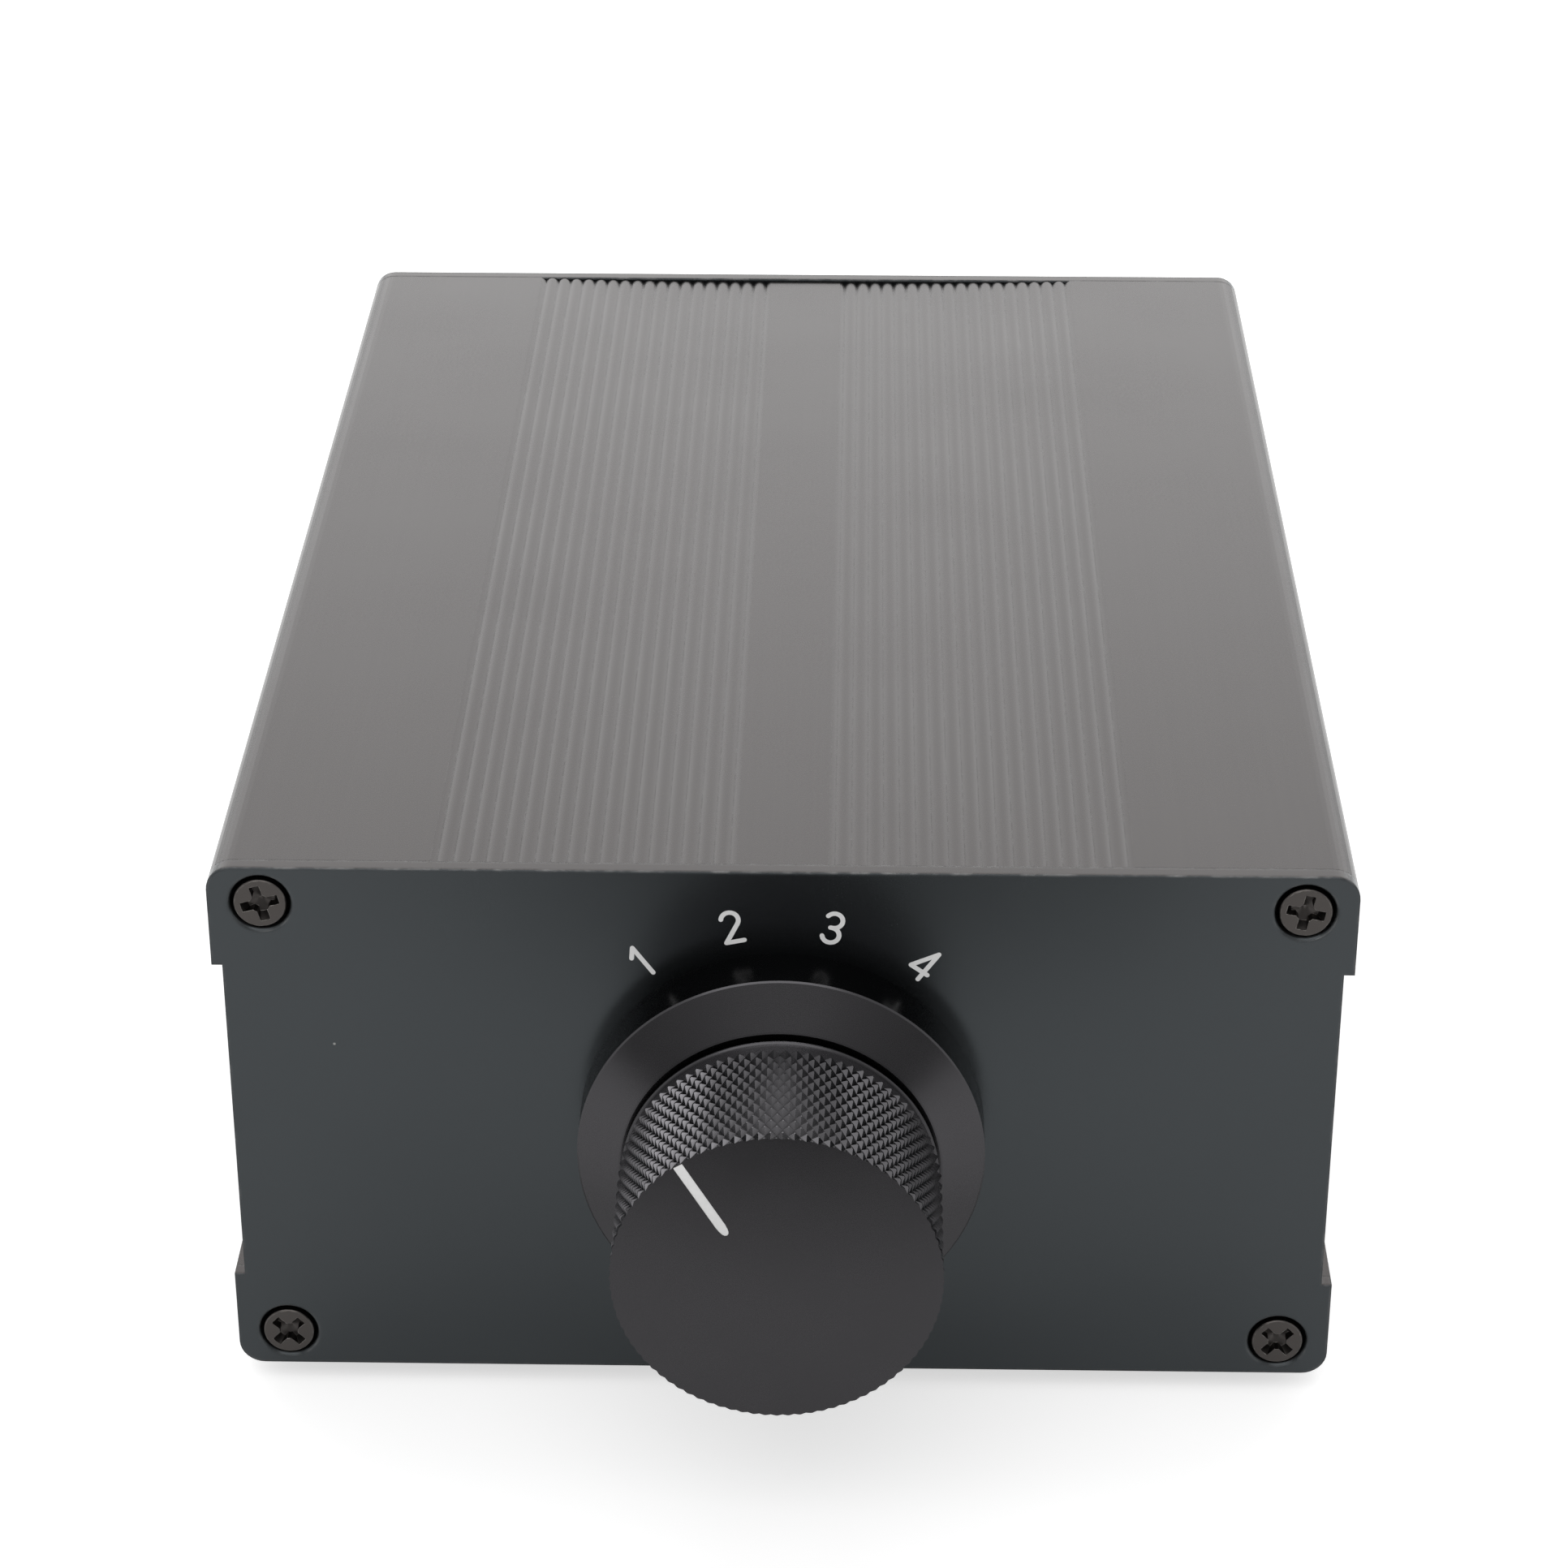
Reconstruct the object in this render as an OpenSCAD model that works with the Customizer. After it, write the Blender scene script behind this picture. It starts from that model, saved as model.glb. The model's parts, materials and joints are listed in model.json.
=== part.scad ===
// Four-way stereo source selector: a rotary switch in a split extruded case,
// with a knurled knob in front and twin phono sockets behind.
// X runs across the front, Y runs from front to back, Z points up.
// The origin is the middle of the base of the whole object's box.

/* [Case] */
// Width of the case
case_w = 106; // [100:1:130]
// Height of the case
case_h = 55.5; // [52:0.5:80]
// Depth of the case with both panels
case_d = 150; // [120:1:220]
// Radius of the four long edges
corner_r = 2.4; // [1:0.1:3]
// Thickness of the top and bottom walls
wall_t = 2; // [1.6:0.1:2.6]
// Thickness of the side walls in their recess
side_t = 2; // [1.6:0.1:2.6]
// Depth of the recess along each side
side_recess = 1; // [0.5:0.1:1.5]
// Height of the full-width band above and below the recess
corner_band_h = 10.4; // [9:0.1:12]
// Thickness of the front and rear panels
panel_t = 1.5; // [1.2:0.1:2.5]
// Height of the lap joint between the two shells
lap_h = 2.5; // [1.5:0.1:4]
// Thickness of the lap joint's tongue
lap_t = 1; // [0.8:0.05:1.2]

/* [Ribs] */
// Number of ribs in each of the two bands
rib_count = 18; // [6:1:18]
// Distance from rib to rib
rib_pitch = 1.5; // [1.2:0.05:1.5]
// Radius of each rib's rounded top
rib_r = 1.25; // [1.1:0.05:1.5]
// Width of the plain strip between the two bands
plain_strip_w = 9.7; // [4:0.1:10]
// Depth to which the ribbed zone is dished at the plain strip
dish_depth = 0.3; // [0.1:0.05:0.4]

/* [Case screws] */
// Distance of the case screws from the sides
screw_inset_x = 4.9; // [4.6:0.1:6]
// Distance of the case screws from the top and the bottom
screw_inset_z = 3.75; // [3.5:0.05:4.5]
// Diameter of the case screws' thread
screw_d = 2.5; // [2:0.1:3]
// Diameter of the case screws' heads
screw_head_d = 4.9; // [4.4:0.1:5.4]
// Gap round the heads in their recesses
screw_head_gap = 0.3; // [0.2:0.05:0.35]
// Height of the heads above the panel face
screw_head_rise = 0.1; // [0:0.05:0.2]
// Length of the case screws below the panel face
screw_len = 8; // [6:0.5:12]
// Diameter of the screw channels in the shells
channel_d = 5.8; // [5:0.1:6.4]

/* [Feet] */
// Diameter of the rubber feet
foot_d = 10; // [6:0.5:12]
// Height of the rubber feet
foot_h = 2.5; // [1.5:0.1:4]
// Distance of the feet's centres from the sides
foot_inset_x = 11; // [9:0.5:13]
// Distance of the feet's centres from the front and the back
foot_inset_y = 15; // [12:0.5:30]

/* [Knob] */
// Diameter of the knob's grip
knob_d = 30; // [27:0.5:32]
// Distance of the knob's face from the front panel
knob_reach = 25.1; // [22:0.1:30]
// Gap between the bezel ring and the knob
knob_gap = 0.8; // [0.5:0.1:1.5]
// Length of the plain collar behind the knurl
collar_len = 2.1; // [1:0.1:3]
// Depth of the plain collar below the knurl's crests
collar_drop = 0.4; // [0.2:0.05:0.6]
// Length of the pointer from the rim inwards
pointer_len = 8.6; // [4:0.1:9]
// Width of the pointer
pointer_w = 0.95; // [0.5:0.05:1.2]
// Lean of the pointer from the radius that its outer end lies on
pointer_lean = 5; // [-6:1:6]
// Depth of the pointer's slot
pointer_depth = 0.3; // [0.2:0.05:0.6]
// Diameter of the knob's set screw
grub_d = 3; // [2.5:0.1:4]
// Length of the knob's set screw
grub_len = 6; // [4:0.5:8]
// Thickness of metal between the shaft's end and the knob's face
face_t = 2.5; // [1.5:0.1:4]

/* [Bezel ring] */
// Diameter of the bezel ring
ring_d = 38.2; // [36:0.1:42]
// Length of the ring's straight side
ring_side_h = 5; // [3:0.1:6]
// Height of the whole ring
ring_h = 7.4; // [7:0.1:9]
// Thickness of the ring's web behind the nut
ring_web_t = 1.5; // [1:0.1:2]
// Diameter of the ring's front lip below the knob's diameter
ring_lip_drop = 0.1; // [0:0.05:0.5]
// Chamfer on the ring's front edge
ring_edge = 0.15; // [0.1:0.05:0.4]

/* [Rotary switch] */
// Number of inputs that the switch selects
positions = 4; // [2:1:4]
// Angle between two positions
step_angle = 24; // [18:2:24]
// Diameter of the shaft
shaft_d = 6; // [5:0.1:6.4]
// Width across the shaft's flat
shaft_flat = 4.5; // [4:0.1:4.8]
// Diameter of the threaded bushing
bushing_d = 9; // [8:0.1:10]
// Length of the bushing from the switch's mounting face
bushing_len = 8; // [7.5:0.1:8.3]
// Diameter of the switch housing
switch_d = 25.5; // [24:0.5:28]
// Length of the switch housing
switch_len = 14; // [13.5:0.5:16]
// Thickness of the housing's wall
switch_wall = 1.45; // [1:0.05:1.8]
// Width of the bushing nut across its flats
nut_w = 12; // [11:0.5:14]
// Thickness of the bushing nut
nut_t = 2.2; // [1.8:0.1:2.5]
// Thickness of the lock washer
washer_t = 0.5; // [0.3:0.05:0.8]
// Diameter of the detent balls
ball_d = 2.4; // [2:0.1:2.8]
// Diameter of the rear bearing of the shaft
tail_d = 4; // [3:0.1:4.4]

/* [Phono sockets] */
// Number of socket pairs across the rear panel
socket_pairs = 5; // [3:1:5]
// Distance between neighbouring socket pairs
pair_pitch = 17; // [15:0.5:18]
// Distance between the two rows of sockets
row_pitch = 18; // [16:0.5:20]
// Height of the lower row's axis above its board
low_row_h = 8.25; // [7:0.25:9]
// Outer diameter of the socket barrels
barrel_d = 8.3; // [8.1:0.05:8.5]
// Length of the barrels outside the rear panel
barrel_reach = 8.5; // [7:0.1:10]
// Inner diameter of the centre contacts
contact_bore_d = 3.24; // [3.2:0.01:3.4]
// Width of the moulded socket blocks
block_w = 12; // [11:0.5:14]
// Depth of the moulded socket blocks
block_t = 12; // [10:0.5:16]
// Diameter of the coloured collars
socket_collar_d = 10; // [9.4:0.1:10.6]

/* [Boards and wiring] */
// Thickness of the circuit boards
board_t = 1.6; // [1:0.1:2]
// Height of the board slots above the case's base
slot_z = 8.8; // [8.5:0.1:10]
// Depth of the socket board
socket_board_d = 40; // [34:1:60]
// Width of the switch board
switch_board_w = 42; // [30:1:60]
// Number of wires in the ribbon cable
ribbon_ways = 10; // [6:2:14]
// Thickness of the ribbon cable
ribbon_t = 0.9; // [0.7:0.05:1.1]
// Bend radius of the ribbon cable near the switch
ribbon_bend_r = 6; // [4:0.5:8]

/* [Hidden] */
$fn = 64;
// Clearances, from tight to loose, and how far a cut runs past its face
turn_gap = 0.05;
seat_gap = 0.05;
fit_gap = 0.1;
free_gap = 0.3;
cut = 1;

// Places of the main pieces, with the front panel's face at zero depth
mid_z = case_h / 2;
back_in_y = case_d - panel_t;
overall_d = knob_reach + case_d + barrel_reach;
front_y = knob_reach - overall_d / 2;
side_in_x = case_w / 2 - side_recess - side_t;
arc_steps = 8;

// Ribs, whose crests lie on a shallow dish and which meet in sharp valleys.
// The first and the last are half ribs, which end in the plain surfaces.
rib_depth = rib_r - sqrt(pow(rib_r, 2) - pow(rib_pitch / 2, 2));
plain_overlap = 0.2;
function rib_x(i) = plain_strip_w / 2 + (i + 0.5) * rib_pitch;
function dish(i) = dish_depth * (1 - pow((i + 1) / (rib_count + 1), 2));

// Case screws, whose cross recesses stand as they were driven
screw_r = screw_d / 2;
head_r = screw_head_d / 2;
head_edge = 0.1;
sink_r = head_r + screw_head_gap;
sink_edge = 0.25;
sink_wall_h = 0.4;
head_cone_y = sink_wall_h + screw_head_gap - seat_gap;
channel_r = channel_d / 2;
channel_mouth_r = max(sink_r + sink_wall_h - panel_t, screw_r) + free_gap;
screw_x = case_w / 2 - screw_inset_x;
screw_spots = [
    [-screw_x, case_h - screw_inset_z],
    [screw_x, case_h - screw_inset_z],
    [-screw_x, screw_inset_z],
    [screw_x, screw_inset_z]
];
screw_turns = [-15, 12, 45, 45];
cross_span = 3.6;
cross_w = 0.95;
cross_centre_r = 0.9;
cross_wall_h = 1;
cross_wall_run = 0.5;
cross_depth = 1.5;

// Board slots in the shells
slot_play = 0.2;
slot_rib_t = 1.2;
slot_rib_w = 2;
board_z = slot_z + slot_play / 2;
board_top = board_z + board_t;

// Bezel ring, nut and washer
ring_r = ring_d / 2;
lip_r = knob_d / 2 - ring_lip_drop / 2;
lip_w = 0.8;
lip_h = 1;
ring_cavity_r = lip_r - lip_w - lip_h;
bushing_r = bushing_d / 2;
washer_w = 2.8;
washer_r = bushing_r + washer_w;
washer_teeth = 12;
washer_notch = 1;
nut_back_y = -ring_web_t - washer_t;
bushing_end_y = panel_t - bushing_len;
clip_t = 0.5;
clip_r = 4.3;
clip_groove_r = 2.4;
clip_mouth_w = 3.84;
clip_y = bushing_end_y - fit_gap;

// Knob
knob_r = knob_d / 2;
knob_back_y = -ring_h - knob_gap;
collar_r = knob_r - collar_drop;
counterbore_r = 7.5;
counterbore_depth = 3;
knob_edge = 0.3;
shaft_r = shaft_d / 2;
shaft_end_y = -knob_reach + face_t + free_gap;
knob_bore_end_y = -knob_reach + face_t;
grub_margin = 0.6;
grub_y = knob_back_y - counterbore_depth - grub_d - grub_margin;
grub_r = grub_d / 2;
grub_key_w = 1.5;
grub_key_depth = 1.5;
flat_offset = shaft_flat - shaft_r;
pointer_tip = 1.2;
travel = (positions - 1) * step_angle;
start_angle = -travel / 2;

// Inside of the rotary switch
switch_r = switch_d / 2;
cavity_r = switch_r - switch_wall;
front_wall_t = 2;
cavity_y = panel_t + front_wall_t;
switch_back_y = panel_t + switch_len;
locator_r = 1.25;
locator_spot = 10.2;
flange_r = 4.6;
flange_t = 0.8;
rotor_y = cavity_y + turn_gap + flange_t + turn_gap;
detent_depth = 4.5;
detent_y = cavity_y + fit_gap;
detent_count = round(360 / step_angle);
ball_r = ball_d / 2;
detent_ring_w = 2.6;
ridge_r = cavity_r - detent_ring_w;
notch_depth = 0.5;
ball_track_r = ridge_r - turn_gap - ball_r;
rotor_gap = 0.4;
rotor_r = ridge_r - rotor_gap;
ball_y = (rotor_y + detent_y + detent_depth) / 2;
carrier_y = detent_y + detent_depth + free_gap;
carrier_gap = 1.7;
carrier_t = 2.6;
carrier_r = cavity_r - carrier_gap;
carrier_back_y = carrier_y + carrier_t;
stop_lug_r = cavity_r - rotor_gap;
stop_lug_angle = 12;
stop_post_angle = 8;
stop_slack = 1;
stator_t = 2;
stator_y = switch_back_y - stator_t;
stud_h = 0.5;
stud_r = 0.8;
pin_r = 0.45;
track_inset = 2.8;
track_pitch = 2.9;
outer_track_r = cavity_r - track_inset;
inner_track_r = outer_track_r - track_pitch;
common_w = 1.2;
common_margin = 10;
wiper_t = 0.3;
wiper_w = 1.6;
wiper_tip = 0.5;
wiper_heel = 0.2;
wiper_rise = 0.8;
peg_r = 0.5;
tail_r = tail_d / 2;
tail_recess = 0.5;
tail_end_y = stator_y + stator_t - tail_recess;

// Angles of the fixed studs of both poles, and of the two common tracks
stud_angles = [for (pole = [0, 180], i = [0 : positions - 1]) start_angle + pole + i * step_angle];
common_angles = [0, 180];

// Boards and connectors
board_gap = 0.5;
board_lift = 4;
board_rise = 14.25;
switch_board_y = switch_back_y + board_gap;
switch_board_back_y = switch_board_y + board_t;
switch_board_low_z = wall_t + board_lift;
switch_board_high_z = mid_z + board_rise;
solder_tail = 1.4;
pin_pitch = 2.54;
pin_side = 0.64;
pin_hole_gap = 0.18;
pin_drop = 2;
header_wall = 1.2;
header_base = 2.4;
header_h = 8.9;
header_margin = 0.6;
header_key_w = 4.5;
plug_depth = 5.9;
plug_margin = 4.7;
plug_h = 12;
plug_lift = 0.3;
plug_hole = 1.04;
cable_slot_h = 9.5;
pins_per_row = ribbon_ways / 2;
wire_pitch = 1.27;
ribbon_w = ribbon_ways * wire_pitch;
plug_w = pins_per_row * pin_pitch + plug_margin;
header_w = plug_w + 2 * (header_wall + free_gap);
header_depth = plug_depth + 2 * (header_wall + free_gap);
switch_header_z = switch_board_low_z + header_depth / 2 + header_margin;
socket_board_front_y = back_in_y - free_gap - socket_board_d;
socket_header_y = socket_board_front_y + header_depth;

// Route of the ribbon cable in the plane of depth and height
ribbon_floor_gap = 0.2;
ribbon_climb = 50;
ribbon_climb_r = 10;
ribbon_tail = 5;
ribbon_exit_y = switch_board_back_y + cable_slot_h;
ribbon_top_z = switch_header_z + plug_depth / 2;
ribbon_low_z = wall_t + ribbon_floor_gap + ribbon_t / 2;
ribbon_high_z = board_top + cable_slot_h;
ribbon_end_y = socket_header_y + plug_depth / 2;
ribbon_drop = ribbon_top_z - ribbon_low_z - ribbon_bend_r;
ribbon_rise = ribbon_high_z - ribbon_low_z;
ribbon_slope_len = (ribbon_rise - 2 * ribbon_climb_r * (1 - cos(ribbon_climb)))
    / sin(ribbon_climb);
ribbon_climb_run = 2 * ribbon_climb_r * sin(ribbon_climb)
    + ribbon_slope_len * cos(ribbon_climb);
ribbon_last_len = plug_depth + ribbon_tail;
ribbon_floor_len = ribbon_end_y - ribbon_last_len - ribbon_climb_run
    - ribbon_exit_y - ribbon_bend_r;
ribbon_legs = [
    [ribbon_drop, 90, ribbon_bend_r],
    [ribbon_floor_len, ribbon_climb, ribbon_climb_r],
    [ribbon_slope_len, -ribbon_climb, ribbon_climb_r],
    [ribbon_last_len, 0, ribbon_climb_r]
];

// Phono sockets
barrel_r = barrel_d / 2;
stem_drop = 0.2;
barrel_wall = 0.75;
stem_r = barrel_r - stem_drop;
barrel_bore_r = barrel_r - barrel_wall;
barrel_end_y = case_d + barrel_reach;
collar_out = 0.8;
socket_collar_r = socket_collar_d / 2;
block_front_y = back_in_y - block_t;
core_r = barrel_bore_r - seat_gap;
core_inset = 0.5;
core_back_y = block_front_y + core_inset;
core_recess = 0.6;
core_lip = 1;
core_floor_t = 2;
mouth_gap = 0.3;
contact_wall = 0.48;
mouth_r = contact_bore_d / 2 + mouth_gap;
contact_r = contact_bore_d / 2 + contact_wall;
contact_back_y = core_back_y + core_floor_t;
contact_plug_t = 2;
contact_end_y = barrel_end_y - core_recess - core_lip - seat_gap;
contact_slit_w = 0.4;
contact_slit_len = 6;
contact_slit_turn = 45;
strip_t = 0.5;
strip_w = 0.9;
strip_y = block_front_y - free_gap - strip_t;
strip_hole_r = 0.65;
strip_low_z = board_z - solder_tail;
low_z = board_top + low_row_h;
high_z = low_z + row_pitch;
block_top_margin = 6;
upper_signal_x = 2.4;
ground_inset = 1;
upper_ground_x = block_w / 2 - ground_inset;
lower_ground_x = -(barrel_bore_r + stem_r) / 2;
tap_r = 1.4;
tap_head_r = 2.8;
tap_head_t = 1.8;
tap_len = 7;
tap_cross_span = 3;
tap_turn = 20;

// Height of each socket row, and the place of each pair seen from behind
row_z = [low_z, high_z];
function pair_x(i) = ((socket_pairs + 1) / 2 - i) * pair_pitch;

// Points of an arc about a centre
function arc(x, y, r, a0, a1) = [
    for (i = [0 : arc_steps]) let (a = a0 + (a1 - a0) * i / arc_steps)
        [x + r * cos(a), y + r * sin(a)]
];

// Outline of the case seen from the front, with a recess along each side
function case_outline() =
    let (x = case_w / 2, c = x - corner_r, top = case_h - corner_r)
    let (low = corner_band_h, high = case_h - corner_band_h, inner = x - side_recess)
    concat(
        arc(c, corner_r, corner_r, -90, 0),
        [[x, low], [inner, low], [inner, high], [x, high]],
        arc(c, top, corner_r, 0, 90),
        arc(-c, top, corner_r, 90, 180),
        [[-x, high], [-inner, high], [-inner, low], [-x, low]],
        arc(-c, corner_r, corner_r, 180, 270)
    );

// Points of one leg of a route: a straight, then a turn, at an offset to the left
function leg_points(p, h, leg, d) =
    let (side = sign(leg[1]), q = p + leg[0] * [cos(h), sin(h)])
    let (c = q + side * leg[2] * [-sin(h), cos(h)])
    side == 0 ? [p + d * [-sin(h), cos(h)], q + d * [-sin(h), cos(h)]] : concat(
        [p + d * [-sin(h), cos(h)]],
        [for (i = [0 : arc_steps]) let (a = h + leg[1] * i / arc_steps)
            c + (side * leg[2] - d) * [sin(a), -cos(a)]]
    );
function leg_end(p, h, leg) =
    let (side = sign(leg[1]), q = p + leg[0] * [cos(h), sin(h)])
    let (c = q + side * leg[2] * [-sin(h), cos(h)], a = h + leg[1])
    side == 0 ? q : c + side * leg[2] * [sin(a), -cos(a)];
function route(p, h, legs, d, i = 0) =
    i == len(legs) ? [] : concat(
        leg_points(p, h, legs[i], d),
        route(leg_end(p, h, legs[i]), h + legs[i][1], legs, d, i + 1)
    );

FIXED_NODES = [
    "upper_shell", "lower_shell", "front_panel", "rear_panel",
    "front_panel_screws", "rear_panel_screws", "rubber_feet",
    "bezel_ring", "bushing_nut", "lock_washer",
    "switch_housing", "detent_ring", "stator_disc", "stator_contacts",
    "switch_board", "switch_header", "switch_header_pins",
    "ribbon_cable", "switch_plug", "socket_plug",
    "socket_board", "socket_header", "socket_header_pins",
    "red_collars", "white_collars", "socket_screws"
];
TURNING_NODES = [
    "knob", "knob_pointer", "knob_set_screw", "switch_shaft", "shaft_clip",
    "switch_rotor", "rotor_wipers", "detent_balls", "detent_springs"
];
PAIR_NODES = [
    for (kind = ["socket_block_", "socket_barrels_", "socket_cores_", "socket_contacts_"],
        i = [1 : socket_pairs]) str(kind, i)
];

// Moves a piece from the front panel's frame to the model's own frame
module place() {
    translate([0, front_y, foot_h]) children();
}

// Moves a piece to the axis of the knob and the switch
module on_axis() {
    place() translate([0, 0, mid_z]) children();
}

// Thickens a front-view outline from one depth to another
module slab(y0, y1) {
    translate([0, y1, 0]) rotate([90, 0, 0]) linear_extrude(y1 - y0) children();
}

// Turns a profile of radius and depth about the Y axis
module turned() {
    rotate([-90, 0, 0]) rotate_extrude() children();
}

// Round bar along Y
module bar(r, y0, y1) {
    translate([0, y0, 0]) rotate([-90, 0, 0]) cylinder(r = r, h = y1 - y0);
}

// Sector of a tube about the Y axis, from a start angle clockwise
module sector(r0, r1, y0, y1, start, sweep) {
    rotate([0, start - 90, 0]) rotate([-90, 0, 0])
        translate([0, 0, y0]) rotate_extrude(angle = sweep)
            translate([r0, 0]) square([r1 - r0, y1 - y0]);
}

// Cross recess of a screw, sunk along Y from the origin
module cross_recess(span, turn) {
    rotate([0, turn, 0]) intersection() {
        union() {
            for (a = [0, 90]) rotate([0, a, 0])
                translate([-span / 2, -fit_gap, -cross_w / 2]) cube([span, cross_depth + fit_gap, cross_w]);
            bar(cross_centre_r, -fit_gap, cross_depth);
        }
        turned() polygon([
            [0, -fit_gap], [span / 2 + fit_gap, -fit_gap],
            [span / 2 - cross_wall_run, cross_wall_h], [0, cross_depth]
        ]);
    }
}

// Case screw that points along Y, with the panel's face at the origin
module case_screw(turn) {
    difference() {
        turned() polygon([
            [0, -screw_head_rise], [head_r - head_edge, -screw_head_rise],
            [head_r, head_edge - screw_head_rise], [head_r, head_cone_y],
            [screw_r, head_cone_y + head_r - screw_r],
            [screw_r, screw_len - screw_r / 2], [screw_r / 2, screw_len], [0, screw_len]
        ]);
        translate([0, -screw_head_rise, 0]) cross_recess(cross_span, turn);
    }
}

module four_screws() {
    for (i = [0 : 3])
        translate([screw_spots[i][0], 0, screw_spots[i][1]]) case_screw(screw_turns[i]);
}

// Outline of what is cut away between the ribs, from the case's underside up
module rib_valleys() {
    valley_z = dish_depth + rib_depth + fit_gap;
    outer_x = rib_x(rib_count) - plain_overlap;
    plain_x = rib_x(-1) + plain_overlap;
    difference() {
        translate([-outer_x, -cut]) square([2 * outer_x, valley_z + cut]);
        translate([-plain_x, dish_depth]) square([2 * plain_x, valley_z]);
        for (s = [-1, 1], i = [-1 : rib_count])
            translate([s * rib_x(i), dish(i) + rib_r]) circle(rib_r);
    }
}

// Outline of one shell: the lower half of the case
module shell_outline() {
    difference() {
        union() {
            difference() {
                intersection() {
                    polygon(case_outline());
                    translate([-case_w / 2, 0]) square([case_w, mid_z]);
                }
                translate([-side_in_x, wall_t]) square([2 * side_in_x, case_h]);
                rib_valleys();
                translate([side_in_x - fit_gap, mid_z - lap_h]) square([lap_t + fit_gap, case_h]);
            }
            translate([-side_in_x - lap_t + fit_gap, mid_z - lap_h])
                square([lap_t - fit_gap, 2 * lap_h - fit_gap]);
            for (s = [-1, 1]) translate([s * screw_x, screw_inset_z]) circle(channel_r);
            for (s = [-1, 1], z = [slot_z - slot_rib_t, board_top + slot_play / 2])
                translate([s * (side_in_x - slot_rib_w / 2), z + slot_rib_t / 2])
                    square([slot_rib_w + fit_gap, slot_rib_t], center = true);
        }
        for (s = [-1, 1]) translate([s * screw_x, screw_inset_z]) circle(screw_r + seat_gap);
    }
}

// Mouth of a screw channel, sunk along Y from the origin
module channel_mouth() {
    turned() polygon([
        [0, -fit_gap], [channel_mouth_r + fit_gap, -fit_gap],
        [screw_r, channel_mouth_r - screw_r], [0, channel_mouth_r - screw_r]
    ]);
}

module shell() {
    difference() {
        slab(panel_t, back_in_y) shell_outline();
        for (s = [-1, 1]) translate([s * screw_x, 0, screw_inset_z]) {
            translate([0, panel_t, 0]) channel_mouth();
            translate([0, back_in_y, 0]) mirror([0, 1, 0]) channel_mouth();
        }
    }
}

module lower_shell() {
    color("#3b3c3d") place() shell();
}

module upper_shell() {
    color("#454648") on_axis() rotate([0, 180, 0]) translate([0, 0, -mid_z]) shell();
}

// Panel blank with its four screw holes, whose recesses are sunk from the front
module panel_blank() {
    cone_end_y = sink_wall_h + sink_r - screw_r - fit_gap;
    difference() {
        slab(0, panel_t) polygon(case_outline());
        for (spot = screw_spots) translate([spot[0], 0, spot[1]]) {
            turned() polygon([
                [0, -fit_gap], [sink_r + sink_edge + fit_gap, -fit_gap],
                [sink_r, sink_edge], [sink_r, sink_wall_h],
                [screw_r + fit_gap, cone_end_y], [0, cone_end_y]
            ]);
            bar(screw_r + fit_gap, 0, panel_t + fit_gap);
        }
    }
}

module front_panel() {
    color("#3c4142") place() difference() {
        panel_blank();
        translate([0, 0, mid_z]) bar(bushing_r + fit_gap, -fit_gap, panel_t + fit_gap);
        translate([0, 0, mid_z + locator_spot])
            bar(locator_r + fit_gap, -fit_gap, panel_t + fit_gap);
    }
}

module rear_panel() {
    color("#3c4142") place() difference() {
        translate([0, case_d, 0]) mirror([0, 1, 0]) panel_blank();
        for (i = [1 : socket_pairs], z = row_z) translate([pair_x(i), 0, z])
            bar(socket_collar_r + fit_gap, back_in_y - fit_gap, case_d + fit_gap);
        for (i = [1 : socket_pairs]) translate([pair_x(i), 0, (low_z + high_z) / 2])
            bar(tap_r + fit_gap, back_in_y - fit_gap, case_d + fit_gap);
    }
}

module front_panel_screws() {
    color("#2f2e2c") place() four_screws();
}

module rear_panel_screws() {
    color("#2f2e2c") place() translate([0, case_d, 0]) mirror([0, 1, 0]) four_screws();
}

module rubber_feet() {
    edge = foot_h / 5;
    color("#1c1c1c") translate([0, front_y, 0])
        for (s = [-1, 1], y = [foot_inset_y, case_d - foot_inset_y])
            translate([s * (case_w / 2 - foot_inset_x), y, 0]) rotate_extrude() polygon([
                [0, 0], [foot_d / 2 - edge, 0], [foot_d / 2, edge],
                [foot_d / 2, foot_h], [0, foot_h]
            ]);
}

module bezel_ring() {
    hole_r = bushing_r + fit_gap;
    color("#2b2b2c") on_axis() turned() polygon([
        [hole_r, 0], [ring_r, 0], [ring_r, ring_edge - ring_side_h],
        [ring_r - ring_edge, -ring_side_h], [lip_r, -ring_h], [lip_r - lip_w, -ring_h],
        [ring_cavity_r, -ring_h + lip_h], [ring_cavity_r, -ring_web_t], [hole_r, -ring_web_t]
    ]);
}

module lock_washer() {
    color("#b9bbbd") on_axis() difference() {
        bar(washer_r, nut_back_y, -ring_web_t);
        bar(bushing_r + fit_gap, nut_back_y - fit_gap, fit_gap);
        for (i = [0 : washer_teeth - 1]) rotate([0, i * 360 / washer_teeth, 0])
            translate([washer_r, 0, 0]) rotate([0, 45, 0])
                cube([washer_notch, 4 * nut_t, washer_notch], center = true);
    }
}

module bushing_nut() {
    corner = nut_w / 2 / cos(30);
    edge = (corner - nut_w / 2) / 2;
    color("#c9cbcc") on_axis() difference() {
        intersection() {
            translate([0, nut_back_y, 0]) rotate([90, 0, 0]) cylinder(r = corner, h = nut_t, $fn = 6);
            turned() polygon([
                [0, nut_back_y], [corner, nut_back_y], [corner, nut_back_y - nut_t + edge],
                [nut_w / 2, nut_back_y - nut_t], [0, nut_back_y - nut_t]
            ]);
        }
        bar(bushing_r + seat_gap, nut_back_y - nut_t - fit_gap, nut_back_y + fit_gap);
    }
}

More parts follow.
